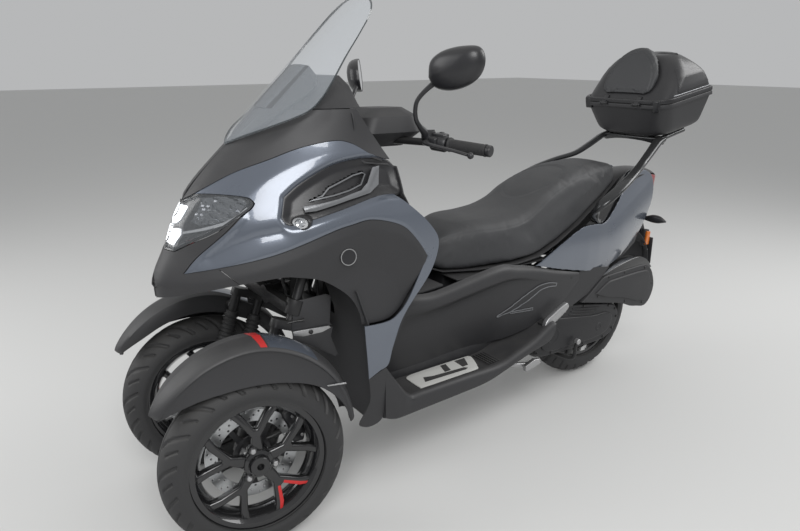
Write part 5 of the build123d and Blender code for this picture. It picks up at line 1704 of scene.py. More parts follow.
def grooved(made, path, depth, width):
    """Press a seam into the skin along a path of points."""
    tree = KDTree(len(path))
    for index, point in enumerate(path):
        tree.insert(point, index)
    tree.balance()
    normals = [vertex.normal.copy() for vertex in made.data.vertices]
    for vertex, normal in zip(made.data.vertices, normals):
        reach = tree.find(vertex.co)[2]
        if reach < 3 * width:
            vertex.co = vertex.co - normal * depth * 2.718 ** (-(reach / width) ** 2)


# %% [markdown]
# In side view the seat follows the sections of the CAD solid. Its skin is drawn here as a smooth
# sheet round those sections: a firm lower skirt, a soft shoulder and a nearly flat top. Each row is
# x, half width at the foot, foot height, half width at the shoulder, shoulder and crown height.

# %% Seat form
SEAT_ROWS = mm([(256, 34, 664, 26, 680, 694), (240, 72, 656, 60, 704, 728), (200, 104, 640, 92, 730, 764),
    (150, 130, 635, 118, 742, 784), (80, 151, 634, 141, 746, 792), (0, 163, 633, 153, 745, 791),
    (-80, 173, 634, 161, 748, 796), (-140, 176, 638, 159, 758, 808), (-190, 175, 644, 154, 778, 828),
    (-240, 173, 660, 149, 805, 857), (-290, 169, 675, 143, 830, 880), (-350, 163, 698, 138, 853, 901),
    (-420, 155, 728, 133, 874, 917), (-500, 138, 761, 123, 888, 927), (-600, 117, 803, 105, 902, 933),
    (-670, 100, 837, 88, 905, 930), (-708, 82, 856, 70, 902, 922), (-722, 60, 866, 50, 896, 912)])


def seat_section(row):
    """The ring of one section, from the middle of the underside up the left side and back."""
    x, foot, low, shoulder, mid, crown = row
    half = [(0.0, low), (foot * 0.7, low), (foot * 0.97, low + 0.004), (foot, low + 0.016),
        (foot + (shoulder - foot) * 0.25, low + (mid - low) * 0.45),
        (shoulder + (foot - shoulder) * 0.12, mid - (mid - low) * 0.18),
        (shoulder * 0.985, mid + (crown - mid) * 0.25), (shoulder * 0.86, mid + (crown - mid) * 0.66),
        (shoulder * 0.62, mid + (crown - mid) * 0.9),
        (shoulder * 0.32, crown - 0.001), (0.0, crown)]
    return [(x, y, z) for y, z in half] + [(x, -y, z) for y, z in half[-2:0:-1]]


seat_lines = eased(SEAT_ROWS, 3)
seat_skin = capped(grid_object("seat_cushion", [seat_section(row) for row in seat_lines], wrap=True))
modified(seat_skin, "REMESH", mode="VOXEL", voxel_size=0.0075)
modified(seat_skin, "SMOOTH", factor=0.5, iterations=5)
swollen(seat_skin, 4.0, 0.006)
modified(seat_skin, "SUBSURF", levels=1, render_levels=1)
print("seat cushion", len(seat_skin.data.vertices))

# %% [markdown]
# The pillion part has a large round inset, dished and edged with a seam that runs down the step.
# A second seam follows the shoulder on each side, where the top panel meets the side panels.

# %% Inset and seams of the seat
INSET_X, INSET_LONG, INSET_WIDE = -0.318, 0.132, 0.104
for vertex in seat_skin.data.vertices:
    if vertex.normal.z > 0.25:
        reach = 1.0 - hypot((vertex.co.x - INSET_X) / INSET_LONG, vertex.co.y / INSET_WIDE)
        if reach > 0:
            fall = min(1.0, reach / 0.07)
            vertex.co.z -= 0.0045 * fall * fall * (3 - 2 * fall)


def top_of(made, points):
    """Heights of the skin above points in plan."""
    return [made.ray_cast(Vector((x, y, 1.2)), Vector((0, 0, -1)))[1] for x, y in points]


inset_ring = [(INSET_X + INSET_LONG * cos(2 * pi * k / 240), INSET_WIDE * sin(2 * pi * k / 240))
    for k in range(240)]
bpy.context.view_layer.update()
grooved(seat_skin, top_of(seat_skin, inset_ring), 0.0022, 0.0035)
for side in (1, -1):
    shoulder = [Vector((row[0], side * row[3] * 0.97, row[4] + (row[5] - row[4]) * 0.4))
        for row in eased(seat_lines, 4)]
    found = [seat_skin.closest_point_on_mesh(point)[1] for point in shoulder if -0.69 < point.x < 0.235]
    grooved(seat_skin, found, 0.0014, 0.0032)
finished(seat_skin, 60, vinyl, "seat", "seat")

# %% [markdown]
# The pad on the top box is a rounded shield, leaning back with the lid. It is drawn flat, wrapped
# on the lean of the lid, and filled in the same way. The tilt of the box is shared by all pieces
# on it, so it is one function.

# %% Tilt of the top box
BOX_FRONT, BOX_SEAM, BOX_TILT = -0.806, 1.15, radians(8.5)


def box_point(u, y, w):
    """A point of the box: ahead of the seam's front end, to the side, and above the seam."""
    return (BOX_FRONT + u * cos(BOX_TILT) + w * sin(BOX_TILT), y,
        BOX_SEAM - u * sin(BOX_TILT) + w * cos(BOX_TILT))


PAD_FACE = mm([(30, -20), (88, -55), (150, -94), (192, -124), (206, -142)])
PAD_BACK = mm([(30, -30.5), (88, -86.5), (130, -109.5), (168, -141.5), (206, -170)])
PAD_RING = mm([(-100, 34), (-118, 46), (-124, 70), (-122, 100), (-112, 128), (-90, 158), (-60, 182),
    (-28, 197), (0, 201)])


# %% Backrest pad
pad_ring = curve_through(PAD_RING, 3)
pad_ring = pad_ring + [(-y, w) for y, w in pad_ring[-2::-1]]
pad = plate("backrest_cushion", pad_ring, 0.026)
bm = bmesh.new()
bm.from_mesh(pad.data)
bmesh.ops.triangulate(bm, faces=bm.faces)
bmesh.ops.subdivide_edges(bm, edges=bm.edges, cuts=3, use_grid_fill=True)
for vertex in bm.verts:
    y, depth, w = vertex.co
    front = between(PAD_FACE, w)
    back = max(between(PAD_BACK, w) + 0.003, front - 0.045)
    vertex.co = box_point(front + (back - front) * depth / 0.026, y, w)
bm.to_mesh(pad.data)
bm.free()
outward(pad)
modified(pad, "REMESH", mode="VOXEL", voxel_size=0.0055)
modified(pad, "SMOOTH", factor=0.5, iterations=5)
swollen(pad, 4.0, 0.005)
modified(pad, "SUBSURF", levels=1, render_levels=1)
pad_seam = []
for y, w in drawn_in(curve_through(pad_ring + pad_ring[:1], 3), 0.015):
    face = Vector(box_point(between(PAD_FACE, w) + 0.006, y, w))
    pad_seam.append(pad.closest_point_on_mesh(face)[1])
grooved(pad, pad_seam, 0.0024, 0.003)
finished(pad, 60, vinyl, "box_lid", "backrest_pad")
print("pad", len(pad.data.vertices))

# %% [markdown]
# ## Grab rails and carrier
# A pair of cast rails starts under the seat edge, flares round the pillion and rises to the box.
# They are flattened bars, so the section is wider than it is high. A bridge with an arched lower
# edge joins them under the front of the box.

# %% Rails and carrier
def tilted(made, u=0.0, y=0.0):
    """Lay a piece drawn level about the seam's front end on the tilt of the box."""
    for vertex in made.data.vertices:
        vertex.co = box_point(vertex.co.x + u, vertex.co.y + y, vertex.co.z)
    return made


RAIL = mm([(-560, 100, 692, 11, 10), (-545, 146, 712, 13, 11), (-480, 176, 746, 16, 11),
    (-442, 218, 794, 19, 11), (-474, 242, 832, 20, 10), (-560, 238, 872, 19, 10), (-660, 209, 905, 18, 10),
    (-750, 174, 929, 17, 11), (-820, 156, 964, 18, 12), (-885, 142, 1001, 19, 12),
    (-920, 136, 1009, 18, 11)])
rails = paired(swept("rail", RAIL, up=(0.5, 0.35, 1), power=2.8), "grab_rails_cast")
CARRIER = mm([(-85, 138), (-105, 134), (-150, 128), (-200, 123), (-258, 118)])
side_bar = paired(swept("carrier_side", [(*box_point(u, y, -0.154), 0.013, 0.011) for u, y in CARRIER]),
    "carrier_sides")


# %% Bridge and deck of the carrier
BRIDGE = mm([(-148, -74, 30), (-128, -66, 30), (-100, -62, 24), (-60, -60, 18), (0, -59, 15.5),
    (60, -60, 18), (100, -62, 24), (128, -66, 30), (148, -74, 30)])
bridge_rows = []
for y, u, deep in eased(BRIDGE, 4):
    section = [(u + 0.004, -0.146), (u + 0.007, -0.15), (u + 0.004 - deep * 0.2, -0.146 - deep),
        (u - 0.004 - deep * 0.2, -0.147 - deep), (u - 0.034, -0.156), (u - 0.036, -0.146)]
    bridge_rows.append([box_point(a, y, w) for a, w in section])
bridge = capped(grid_object("carrier_bridge", bridge_rows, wrap=True))
bevelled(bridge, 0.0018, 2, 28)
smooth(bridge, 35)
back_bar = swept("carrier_back", [(*box_point(-0.25, y, -0.154), 0.012, 0.01)
    for y in (-0.118, -0.06, 0, 0.06, 0.118)])
deck = plate("carrier_deck", mm([(-256, -149), (-72, -149), (-72, -142.5), (-256, -142.5)]), 0.172)
moved(deck, 0, -0.086, 0)
tilted(deck)
bevelled(deck, 0.002, 2, 30)
smooth(deck, 35)
rails = give(joined("grab_rails_and_carrier", [rails, side_bar, bridge, back_bar, deck]), rail_satin,
    "chassis", "grab_rails")
print("rails", len(rails.data.polygons))

# %% [markdown]
# ## Top box
# The box is a tub and a domed lid whose shells meet at a sloping seam. Each shell is a sheet
# through rounded outlines, as its CAD solid is, but with more sections and a soft roof. Its rims,
# raised side panels and corner clasps are separate pieces that ride with the shell they sit on.

# %% Outline of the box
BOX_CORNER, BOX_BOW = 0.064, 0.079


def box_outline(front, rear, half):
    """The ring of the box at one height: rounded front corners and a bowed rear."""
    corner, bow = BOX_CORNER, BOX_BOW
    ring = [(front, y) for y in (0.0, (half - corner) * 0.5)]
    for k in range(9):
        turn = pi / 2 * k / 8
        ring.append((front - corner * (1 - cos(turn)), half - corner * (1 - sin(turn))))
    start, end = (front - corner, half), (rear + bow, half * 0.94)
    ring += [(start[0] + (end[0] - start[0]) * k / 10, start[1] + (end[1] - start[1]) * k / 10)
        for k in range(1, 10)]
    reach = half * 0.94
    radius = (bow * bow + reach * reach) / (2 * bow)
    angle = atan2(reach, radius - bow)
    for k in range(14):
        turn = angle * (1 - k / 14)
        ring.append((rear + radius - radius * cos(turn), radius * sin(turn)))
    ring.append((rear, 0.0))
    return ring + [(u, -y) for u, y in ring[-2:0:-1]]


# %% Shells of the box
def box_shell(name, table, closed_rows=(), steps=4):
    """A shell of the box through a table of height, front, rear and half width."""
    rows = []
    for w, front, rear, half in eased(table, steps):
        rows.append([box_point(u, y, w) for u, y in box_outline(front, rear, half)])
    for w, grow in closed_rows:
        front, rear, half = table[-1][1:] if w > -0.05 else table[0][1:]
        middle = (front + rear) / 2
        ring = [box_point(middle + (u - middle) * grow, y * grow, w)
            for u, y in box_outline(front, rear, half)]
        rows = rows + [ring] if w > -0.05 else [ring] + rows
    return grid_object(name, rows, wrap=True)


def opened(shell, is_open):
    """Take away the large cap at the seam, then give the shell its wall."""
    bm = bmesh.new()
    bm.from_mesh(shell.data)
    caps = [face for face in bm.faces if len(face.verts) > 20 and is_open(face.calc_center_median().z)]
    bmesh.ops.delete(bm, geom=caps, context="FACES_ONLY")
    bm.to_mesh(shell.data)
    bm.free()
    walled(shell, 0.0035)
    smooth(shell, 40)


# %% Tub
TUB_ROWS = mm([(-142, -64, -326, 134), (-138, -54, -340, 148), (-128, -45, -358, 166),
    (-112, -36, -376, 178), (-60, -18, -396, 191), (-16, -4, -413, 200.5)])
tub = box_shell("box_tub", TUB_ROWS, [(-0.142, 0.55), (-0.142, 0.15)], 3)
opened(capped(tub), lambda height: height > 1.1)


def rim_band(name, low, high, proud, inner):
    """A band round the box at the seam: its lower and upper edge, how proud it stands, its depth."""
    profile = [(low, 0.0), (low + 0.0015, -proud), (high - 0.0015, -proud), (high, 0.0), (high, inner),
        (low, inner)]
    rows = []
    for w, inset in profile:
        rows.append([box_point(u, y, w) for u, y in box_outline(0.0 - inset, -0.419 + inset, 0.203 - inset)])
    rows.append(rows[0])
    made = grid_object(name, rows, wrap=True)
    bm = bmesh.new()
    bm.from_mesh(made.data)
    bmesh.ops.remove_doubles(bm, verts=bm.verts, dist=SAME_POINT)
    bm.to_mesh(made.data)
    bm.free()
    outward(made)
    bevelled(made, 0.0009, 2, 30)
    smooth(made, 40)
    return made


tub_rim = rim_band("tub_rim", -0.0175, -0.0003, 0.0035, 0.006)
tub = give(joined("top_box_tub", [tub, tub_rim]), matte_black, "chassis", "top_box_base")

# %% Lid
LID_ROWS = mm([(16, -14, -411, 200), (50, -48, -397, 197), (88, -86, -374, 190), (116, -106, -346, 176),
    (140, -121, -316, 156), (157, -134, -292, 134), (166, -146, -272, 114)])
lid = box_shell("box_lid_shell", LID_ROWS, [(0.1682, 0.8), (0.169, 0.45), (0.1692, 0.15)], 3)
opened(capped(lid), lambda height: height < 1.25)
lid_rim = rim_band("lid_rim", 0.0009, 0.0185, 0.0035, 0.006)

# %% Raised side panels of the lid
def lid_side(u, w, proud):
    """A point of the lid's left side at a place along it and a height."""
    for low, high in zip(LID_ROWS, LID_ROWS[1:]):
        if w <= high[0]:
            break
    t = (w - low[0]) / (high[0] - low[0])
    front, rear, half = (p + (q - p) * t for p, q in zip(low[1:], high[1:]))
    ring = [(a, b) for a, b in box_outline(front, rear, half) if b >= 0]
    for (a, p), (b, q) in zip(ring, ring[1:]):
        if min(a, b) <= u <= max(a, b) and abs(a - b) > 1e-9 and p > half * 0.3:
            return box_point(u, p + (q - p) * (u - a) / (b - a) + proud, w)
    return box_point(u, half * 0.8, w)


SIDE_PANEL = mm([(-94, 32), (-150, 29), (-230, 30), (-318, 36), (-322, 62), (-296, 90), (-262, 103),
    (-200, 112), (-152, 122), (-128, 118), (-116, 92), (-103, 60)])
panel_ring = curve_through(SIDE_PANEL + SIDE_PANEL[:1], 3)[:-1]
side_panel = ring_sheet("lid_panel", panel_ring, lambda u, w: lid_side(u, w, 0.0022), 0.008)
trimmed(side_panel, (0, 1, 0), 0.003, 0.0012, 2, 40)
smooth(side_panel, 30)
side_panels = paired(side_panel, "lid_side_panels")
lid = give(joined("top_box_lid_shell", [lid, lid_rim, side_panels]), satin_black, "box_lid", "top_box_lid")

# %% Seam lines of the lid
stripe = swept("seam_line", [(*lid_side(u, 0.0235, 0.0012), 0.0014, 0.0022)
    for u in (-0.07, -0.11, -0.16, -0.22, -0.28, -0.325)], sides=8, steps=4)
stripes = paired(stripe, "lid_seam_lines")
give(stripes, grey_satin, "box_lid")

# %% Hinges
hinge_parts, knuckles = [], []
for y in (-0.08, 0.08):
    for shift, wide, bucket in ((-0.018, 0.006, hinge_parts), (0.012, 0.006, hinge_parts),
            (-0.0105, 0.021, knuckles)):
        knuckle = spun("knuckle", [(0.0, 0.0), (0.0048, 0.0), (0.0056, 0.0008), (0.0056, wide - 0.0008),
            (0.0048, wide), (0.0, wide)], 20, closed=False)
        moved(knuckle, BOX_FRONT + 0.008 * cos(BOX_TILT), y + shift, BOX_SEAM - 0.008 * sin(BOX_TILT))
        arm = mm([(-26, 26), (-16, 26), (12.5, 3), (8, -4), (2, 1)])
        if bucket is hinge_parts:
            arm = mm([(-20, -26), (-10, -26), (12.5, -2), (8, 4), (0, -3)])
        strap = plate("strap", arm, wide)
        tilted(strap, 0.0, y + shift)
        bevelled(strap, 0.001, 2, 30)
        smooth(strap, 35)
        smooth(knuckle, 35)
        bucket += [knuckle, strap]
give(joined("hinge_lugs_tub", hinge_parts), matte_black, "chassis")
give(joined("hinge_lugs_lid", knuckles), satin_black, "box_lid")

# %% Clasps and lock
CLASP = mm([(4, -30), (10, -26), (12, -4), (12, 14), (6, 20), (0, 16), (1, -28)])
clasps = []
for place in (0.166, -0.166):
    clasp = plate("clasp", CLASP, 0.03)
    tilted(clasp, -0.01, place - 0.015)
    bevelled(clasp, 0.0022, 2, 30)
    smooth(clasp, 35)
    clasps.append(clasp)
lock = spun("lock", mm([(0, 0), (9, 0), (11, 2), (12, 2), (12, -6), (0, -6)]), 24, closed=False)
lock.data.transform(Matrix.Rotation(radians(90), 4, "Z"))
lock.data.transform(Matrix.Translation(box_point(-0.421, 0, -0.035)))
smooth(lock, 30)
give(joined("box_clasps", clasps), satin_black, "chassis")
give(lock, cast_alloy, "chassis")
print("box", len(tub.data.polygons), len(lid.data.polygons))

# %% [markdown]
# ## Tail panels
# The painted tail is one swept panel on each side, convex like the front panels. Its rim follows
# the CAD outline with rounded corners. The sheet bulges towards its middle line, so its upper
# and lower edges roll inwards, which catches a long highlight. A black recess sits above it, under
# the pillion part of the seat.

# %% Tail form
TAIL_TOP = mm([(-148, 611), (-277, 668), (-360, 702), (-425, 720), (-467, 722), (-555, 714), (-590, 722),
    (-640, 755), (-700, 802), (-738, 842), (-765, 876), (-800, 890), (-870, 886), (-915, 876)])
TAIL_LOW = mm([(-946, 850), (-961, 806), (-960, 750), (-945, 700), (-920, 648), (-884, 602), (-820, 566),
    (-748, 541), (-670, 521), (-597, 506), (-540, 510), (-490, 521), (-294, 568), (-148, 611)])
TAIL_RING = curve_through(TAIL_TOP + TAIL_LOW, 3)[:-1]
TAIL_SIDE = mm([(-980, 88.5), (-900, 105), (-800, 126.5), (-700, 146.5), (-600, 163), (-520, 175.5),
    (-450, 182), (-300, 186), (-120, 188)])
TAIL_MIDDLE = mm([(-970, 775), (-945, 770), (-900, 742), (-800, 694), (-700, 647), (-600, 608), (-500, 612),
    (-400, 622), (-300, 626), (-148, 611)])


def tail_y(x, z):
    """Distance of the tail's outer face from the middle plane."""
    middle = between(TAIL_MIDDLE, x)
    reach = (z - middle) / 0.115
    return between(TAIL_SIDE, x) + 0.0045 - 0.014 * reach * reach


def on_tail(lift):
    """A function that lays side-view points on the tail with a lift."""
    return lambda x, z: (x, tail_y(x, z) + lift, z)


tail = ring_sheet("tail_panels", TAIL_RING, on_tail(0.0), 0.01)
turned_to(tail, (0, 1, 0))
modified(tail, "SMOOTH", factor=0.5, iterations=6)
walled(tail, 0.004)
bevelled(tail, 0.0012, 2, 55)
finished(mirrored(tail), 45, paint, "chassis", "tail_cowls")

# %% Recess and top cover
RECESS_RING = smooth_ring([(-440, 712), (-505, 745), (-560, 775), (-640, 820), (-730, 868),
    (-800, 884), (-800, 860), (-740, 810), (-694, 770), (-600, 705), (-545, 695), (-440, 712)])
recess = ring_sheet("tail_recess_panels", RECESS_RING,
    lambda x, z: (x, between(TAIL_SIDE, x) - 0.014 - 0.16 * max(0.0, z - 0.7), z), 0.01)
trimmed(recess, (0, 1, 0), 0.003)
finished(mirrored(recess), 45, gloss_black, "chassis")

top_rows = []
for x, z in eased(mm([(-560, 765), (-640, 808), (-740, 852), (-840, 874), (-920, 878), (-975, 871),
        (-989, 855), (-986, 838)]), 4):
    half = min(between(TAIL_SIDE, x) - 0.012, 0.122)
    top_rows.append([(x, half * k / 8, z - 0.016 * (abs(k) / 8) ** 3) for k in range(-8, 9)])
tail_top = grid_object("tail_top_cover", top_rows)
trimmed(tail_top, (0, 0, 1), 0.003)
finished(tail_top, 45, satin_black, "chassis")

# %% Lower bands and inner panels
BAND_RING = mm([(-440, 548), (-600, 525), (-560, 486), (-480, 432), (-400, 404), (-300, 392), (-240, 386),
    (-235, 412), (-320, 452), (-400, 520)])
band = ring_sheet("tail_lower_bands", BAND_RING, lambda x, z: (x, 0.176, z), 0.012)
trimmed(band, (0, 1, 0), 0.003, 0.001)
finished(mirrored(band), 45, matte_black, "chassis")
INNER_RING = mm([(-440, 530), (-500, 512), (-600, 498), (-760, 520), (-880, 565), (-920, 640), (-945, 720),
    (-900, 735), (-700, 640), (-520, 590)])
inner = ring_sheet("tail_inner_panels", INNER_RING, lambda x, z: (x, between(TAIL_SIDE, x) - 0.022, z), 0.012)
trimmed(inner, (0, 1, 0), 0.003)
finished(mirrored(inner), 45, matte_black, "chassis")
print("tail", len(tail.data.polygons))

# %% [markdown]
# ## Tail lamp, indicators and plate carrier
# The lamp is a red lens with two light bars. The rear indicators are leaf-shaped heads on short
# stalks, and an amber reflector sits at each side of the plate carrier.

# %% Tail lamp and small lamps
bars = []
for height, reach in ((0.822, 0.062), (0.786, 0.066)):
    stations = [(-0.9885, 0.008, height, 0.003, 0.005), (-0.9885, 0.035, height + 0.001, 0.003, 0.005),
        (-0.98, reach, height + 0.004, 0.003, 0.0045)]
    bars.append(swept("light_bar", stations, sides=12, power=3.0))
give(paired(joined("light_bars", bars), "tail_light_bars"), red_stripe, "chassis")
LEAF = mm([(-962, 62, 655, 6, 7), (-966, 80, 656, 9, 12), (-970, 105, 658, 12, 17.5),
    (-973, 132, 658, 11, 16), (-975, 152, 656, 7, 8.5), (-976, 164, 654, 2, 2.5)])
LEAF_LENS = mm([(-979, 86, 656, 4, 9), (-982, 107, 658, 6, 13.5), (-984, 130, 658, 5, 12),
    (-983, 150, 656, 2, 6)])
LEAF_STALK = mm([(-954, 40, 655, 8, 8), (-960, 56, 655, 7.5, 7.5), (-964, 70, 655, 7, 7)])
for name, stations, sides, material in (("leaves", LEAF, 18, satin_black),
        ("lenses", LEAF_LENS, 16, amber_lens), ("stalks", LEAF_STALK, 14, soft_rubber)):
    give(paired(swept("leaf", stations, sides=sides), "rear_indicator_" + name), material, "chassis")

# %% Reflectors, blank plate and splash flap
reflector = plate("amber_reflectors", mm([(-982, 530), (-1008, 528), (-1012, 588), (-988, 592)]), 0.01,
    bevel=0.003, segments=3)
moved(reflector, 0, 0.062, 0)
finished(mirrored(reflector), 35, amber_lens, "chassis")
backing = plate("reflector_brackets", mm([(-976, 524), (-1012, 522), (-1016, 594), (-984, 600)]), 0.018,
    bevel=0.003)
moved(backing, 0, 0.044, 0)
finished(mirrored(backing), 35, matte_black, "chassis")
blank = plate("blank_plate", mm([(-56, -46), (56, -46), (56, 46), (-56, 46)]), 0.0012, bevel=0.0005)
blank.data.transform(Matrix.Rotation(radians(90), 4, "Z"))
moved(blank, -1.0205, 0, 0.5)
finished(blank, 35, cast_alloy, "chassis")
flap_rows = []
for x, z, half in eased(mm([(-905, 628, 60), (-950, 590, 70), (-990, 545, 74), (-1014, 490, 76),
        (-1013, 432, 78)]), 4):
    flap_rows.append([(x + 0.012 * (y / 0.078) ** 2, y * half / 0.078, z)
        for y in (-0.078, -0.06, -0.04, -0.02, 0, 0.02, 0.04, 0.06, 0.078)])
flap = grid_object("rear_splash_flap", flap_rows)
trimmed(flap, (-1, 0, 0), 0.003, 0.001)
finished(flap, 40, matte_black, "chassis")
print("tail lamps")

# %% [markdown]
# ## Drive case and air box
# The belt case is a casting with a raised cover, three ribs and a ring of screws. The outline of
# the CAD solid is kept, with rounder corners at the rear. The air box above it is moulded plastic
# with a glossy cover and a ledge where the cover meets it.

# %% Belt case
CASE_RING = smooth_ring([(-226, 389), (-212, 320), (-207, 245), (-242, 206), (-340, 196), (-500, 188),
    (-610, 186), (-672, 203), (-710, 245), (-722, 290), (-706, 328), (-672, 352), (-560, 376), (-420, 401),
    (-320, 398), (-226, 389)], 4)


def moulded(name, ring, near, far, bevel, segments=4):
    """A rounded block between two distances from the middle plane."""
    made = plate(name, ring, far - near)
    moved(made, 0, near, 0)
    modified(made, "BEVEL", width=bevel, segments=segments, limit_method="ANGLE", angle_limit=radians(35))
    smooth(made, 35)
    return made


# %% Case with cover, axle and ribs
case = moulded("belt_case_body", CASE_RING, 0.078, 0.142, 0.01)
cover_ring = drawn_in(CASE_RING, 0.009)
case_cover = moulded("belt_case_cover", cover_ring, 0.138, 0.158, 0.011, 5)
middle_ring = smooth_ring([(-250, 345), (-246, 262), (-290, 226), (-420, 220), (-560, 216),
    (-640, 232), (-672, 280), (-640, 316), (-540, 322), (-400, 346), (-300, 358), (-250, 345)], 4)
raised = moulded("belt_case_panel", middle_ring, 0.152, 0.1645, 0.007, 4)
axle_end = spun_at("rear_axle", mm([(0, -78), (10, -78), (10, 79), (0, 79)]), 28, (-0.64, 0, 0.276))
round_boss = spun_at("case_boss", mm([(0, 164), (24, 164), (27, 165.5), (34, 165.5), (36, 163.5), (36, 150),
    (0, 150)]), 40, (-0.31, 0, 0.29))
ribs = []
for x0, z0, x1, z1 in mm([(-419, 377, -583, 348), (-410, 366, -573, 337), (-400, 355, -563, 326)]):
    middle = ((x0 + x1) / 2, 0.159, (z0 + z1) / 2, 0.0042, 0.0032)
    ribs.append(swept("rib", [(x0, 0.1575, z0, 0.003, 0.0028), middle, (x1, 0.1575, z1, 0.0026, 0.0028)],
        sides=12))
case = give(joined("belt_case", [case, case_cover, raised, axle_end, round_boss] + ribs), engine_grey,
    "chassis", "cvt_case")


# %% Screws and boss of the case
head = spun("case_screw", mm([(0, 161.5), (4.2, 161.5), (5.2, 160.5), (5.2, 155), (0, 155)]), 12, False)
screws = scattered("case_screws", head, drawn_in(CASE_RING, 0.0165)[::5])
finished(screws, 30, black_steel, "chassis")
starter = spun_at("kick_boss", mm([(0, 163.5), (8, 163.5), (10, 165.5), (17.5, 165.5), (19, 164), (19, 150),
    (0, 150)]), 28, (-0.585, 0, 0.262))
give(starter, engine_grey, "chassis")

# %% Air box
AIR_RING = smooth_ring([(-444, 404), (-485, 428), (-540, 468), (-572, 486), (-620, 490), (-740, 493),
    (-838, 493), (-872, 474), (-896, 442), (-913, 385), (-895, 330), (-858, 303), (-805, 312), (-760, 322),
    (-690, 350), (-560, 378), (-444, 404)])
air = moulded("air_box_body", AIR_RING, 0.14, 0.182, 0.012, 5)
air_panel = moulded("air_box_panel",
    smooth_ring([(-520, 425), (-590, 462), (-640, 468), (-830, 470), (-866, 440), (-884, 382),
    (-862, 336), (-800, 338), (-700, 374), (-600, 396), (-520, 425)]), 0.176, 0.1895, 0.006, 4)
air = give(joined("air_box_moulding", [air, air_panel]), matte_black, "chassis", "air_box")
LID_RING = smooth_ring([(-560, 489), (-640, 512), (-740, 530), (-800, 532), (-850, 512), (-880, 484),
    (-876, 468), (-700, 484), (-560, 489)])
air_lid = moulded("air_box_lid", LID_RING, 0.128, 0.176, 0.012, 5)
give(air_lid, gloss_black, "chassis")
head = spun("air_screw", mm([(0, 185), (4.5, 185), (5.5, 183.8), (5.5, 178), (0, 178)]), 12, False)
air_screws = scattered("air_box_screws", head, mm([(-600, 482), (-700, 484), (-835, 480), (-890, 400),
    (-840, 322), (-720, 352), (-540, 412)]))
finished(air_screws, 30, black_steel, "chassis")
snorkel = swept("air_box_duct", mm([(-470, 120, 452, 20, 20), (-520, 128, 480, 21, 21),
    (-590, 130, 500, 20, 18), (-640, 136, 500, 18, 14)]))
give(snorkel, soft_rubber, "chassis")
print("case and air box")

# %% [markdown]
# ## Muffler, shocks and swing arm
# On the right side a round muffler hangs on the swing arm. Its can has rolled ends, a bracket and
# a perforated shield. Each shock is a damper with a coil spring outside. The spring is one wire
# swept along a helix.

# %% Muffler
CAN_WAY = Vector((-1, -0.02, 0.2)).normalized()
can = spun("muffler_can", mm([(0, -4), (18, -4), (30, 6), (48, 30), (58, 52), (60.5, 60), (61.8, 62),
    (61.8, 78), (60.5, 80), (60.5, 470), (61.8, 472), (61.8, 492), (60, 498), (54, 516), (44, 530),
    (30, 536), (0, 536)]), 48, False)
aimed(can, (-0.35, -0.204, 0.262), CAN_WAY)
outlet = spun("muffler_outlet", mm([(19, 520), (19, 552), (16.5, 552), (16, 530), (0, 530)]), 32, False)
aimed(outlet, (-0.35, -0.216, 0.25), CAN_WAY)
header = swept("exhaust_pipe", mm([(-140, -72, 222, 18, 18), (-172, -94, 208, 18, 18),
    (-210, -116, 205, 18, 18), (-262, -146, 222, 18, 18), (-312, -176, 246, 19, 19),
    (-352, -202, 262, 21, 21)]))
for piece in (can, outlet):
    smooth(piece, 35)
give(joined("muffler_and_pipe", [can, outlet, header]), black_steel, "chassis", "muffler")

# %% Heat shield and hanger
shield_rows = []
for i in range(15):
    along = 0.1 + 0.36 * i / 14
    row = []
    for k in range(17):
        turn = radians(-72 + 144 * k / 16)
        row.append((0.0655 * cos(turn), along, 0.0655 * sin(turn)))
    shield_rows.append(row)
shield = grid_object("muffler_shield", shield_rows)
bm = bmesh.new()
bm.from_mesh(shield.data)
bm.faces.ensure_lookup_table()
gone = [bm.faces[i * 16 + k] for i in range(2, 12, 3) for k in (3, 4, 6, 7, 8, 9, 11, 12)]
bmesh.ops.delete(bm, geom=gone, context="FACES")
bm.to_mesh(shield.data)
bm.free()
shield.data.transform(Matrix.Rotation(radians(180), 4, "Y"))
aimed(shield, (-0.35, -0.204, 0.262), CAN_WAY, (0, 0, 1))
modified(shield, "SOLIDIFY", thickness=0.0018, offset=0)
bevelled(shield, 0.0006, 1, 50)
finished(shield, 40, satin_black, "chassis")
hanger = plate("muffler_hanger", mm([(-490, 276), (-548, 276), (-566, 330), (-545, 352), (-500, 340)]),
    0.008, bevel=0.002)
moved(hanger, 0, -0.142, 0)
finished(hanger, 35, black_steel, "chassis")

# %% Shocks
EYE = mm([(0, -13), (14.5, -13), (15.8, -11), (15.8, 11), (14.5, 13), (0, 13)])
shock_parts, springs = [], []
for side in (1, -1):
    low, high = Vector((-0.6, side * 0.1005, 0.305)), Vector((-0.512, side * 0.1, 0.648))
    way = (high - low).normalized()
    damper = spun("damper", mm([(0, 0), (12.5, 0), (16.5, 10), (16.5, 30), (21.5, 34), (21.5, 40), (13, 42),
        (13, 190), (8.5, 192), (8.5, 300), (20.5, 302), (20.5, 312), (15, 318), (12, 352), (0, 352)]), 28,
        False)
    aimed(damper, low, way)
    smooth(damper, 35)
    shock_parts += [damper] + [spun_at("eye", EYE, 24, place, 35) for place in (low, high)]
    springs.append(strut("spring", low + way * 0.043, low + way * 0.299, 0.0185, 0.0036, 9))
shock_parts = give(joined("shock_dampers", shock_parts), satin_black, "chassis", "rear_shocks")
springs = give(joined("shock_springs", springs), gloss_black, "chassis")
print("muffler and shocks")

# %% [markdown]
# ## Pegs and stands
# The passenger pegs are flat cast blades that fold up against the body, each on a short clevis.
# The side stand is a leg with a flat shoe. The centre stand is bent tube with two feet and a long
# loop for the rider's heel, which shows in front of the belt case in the photograph.

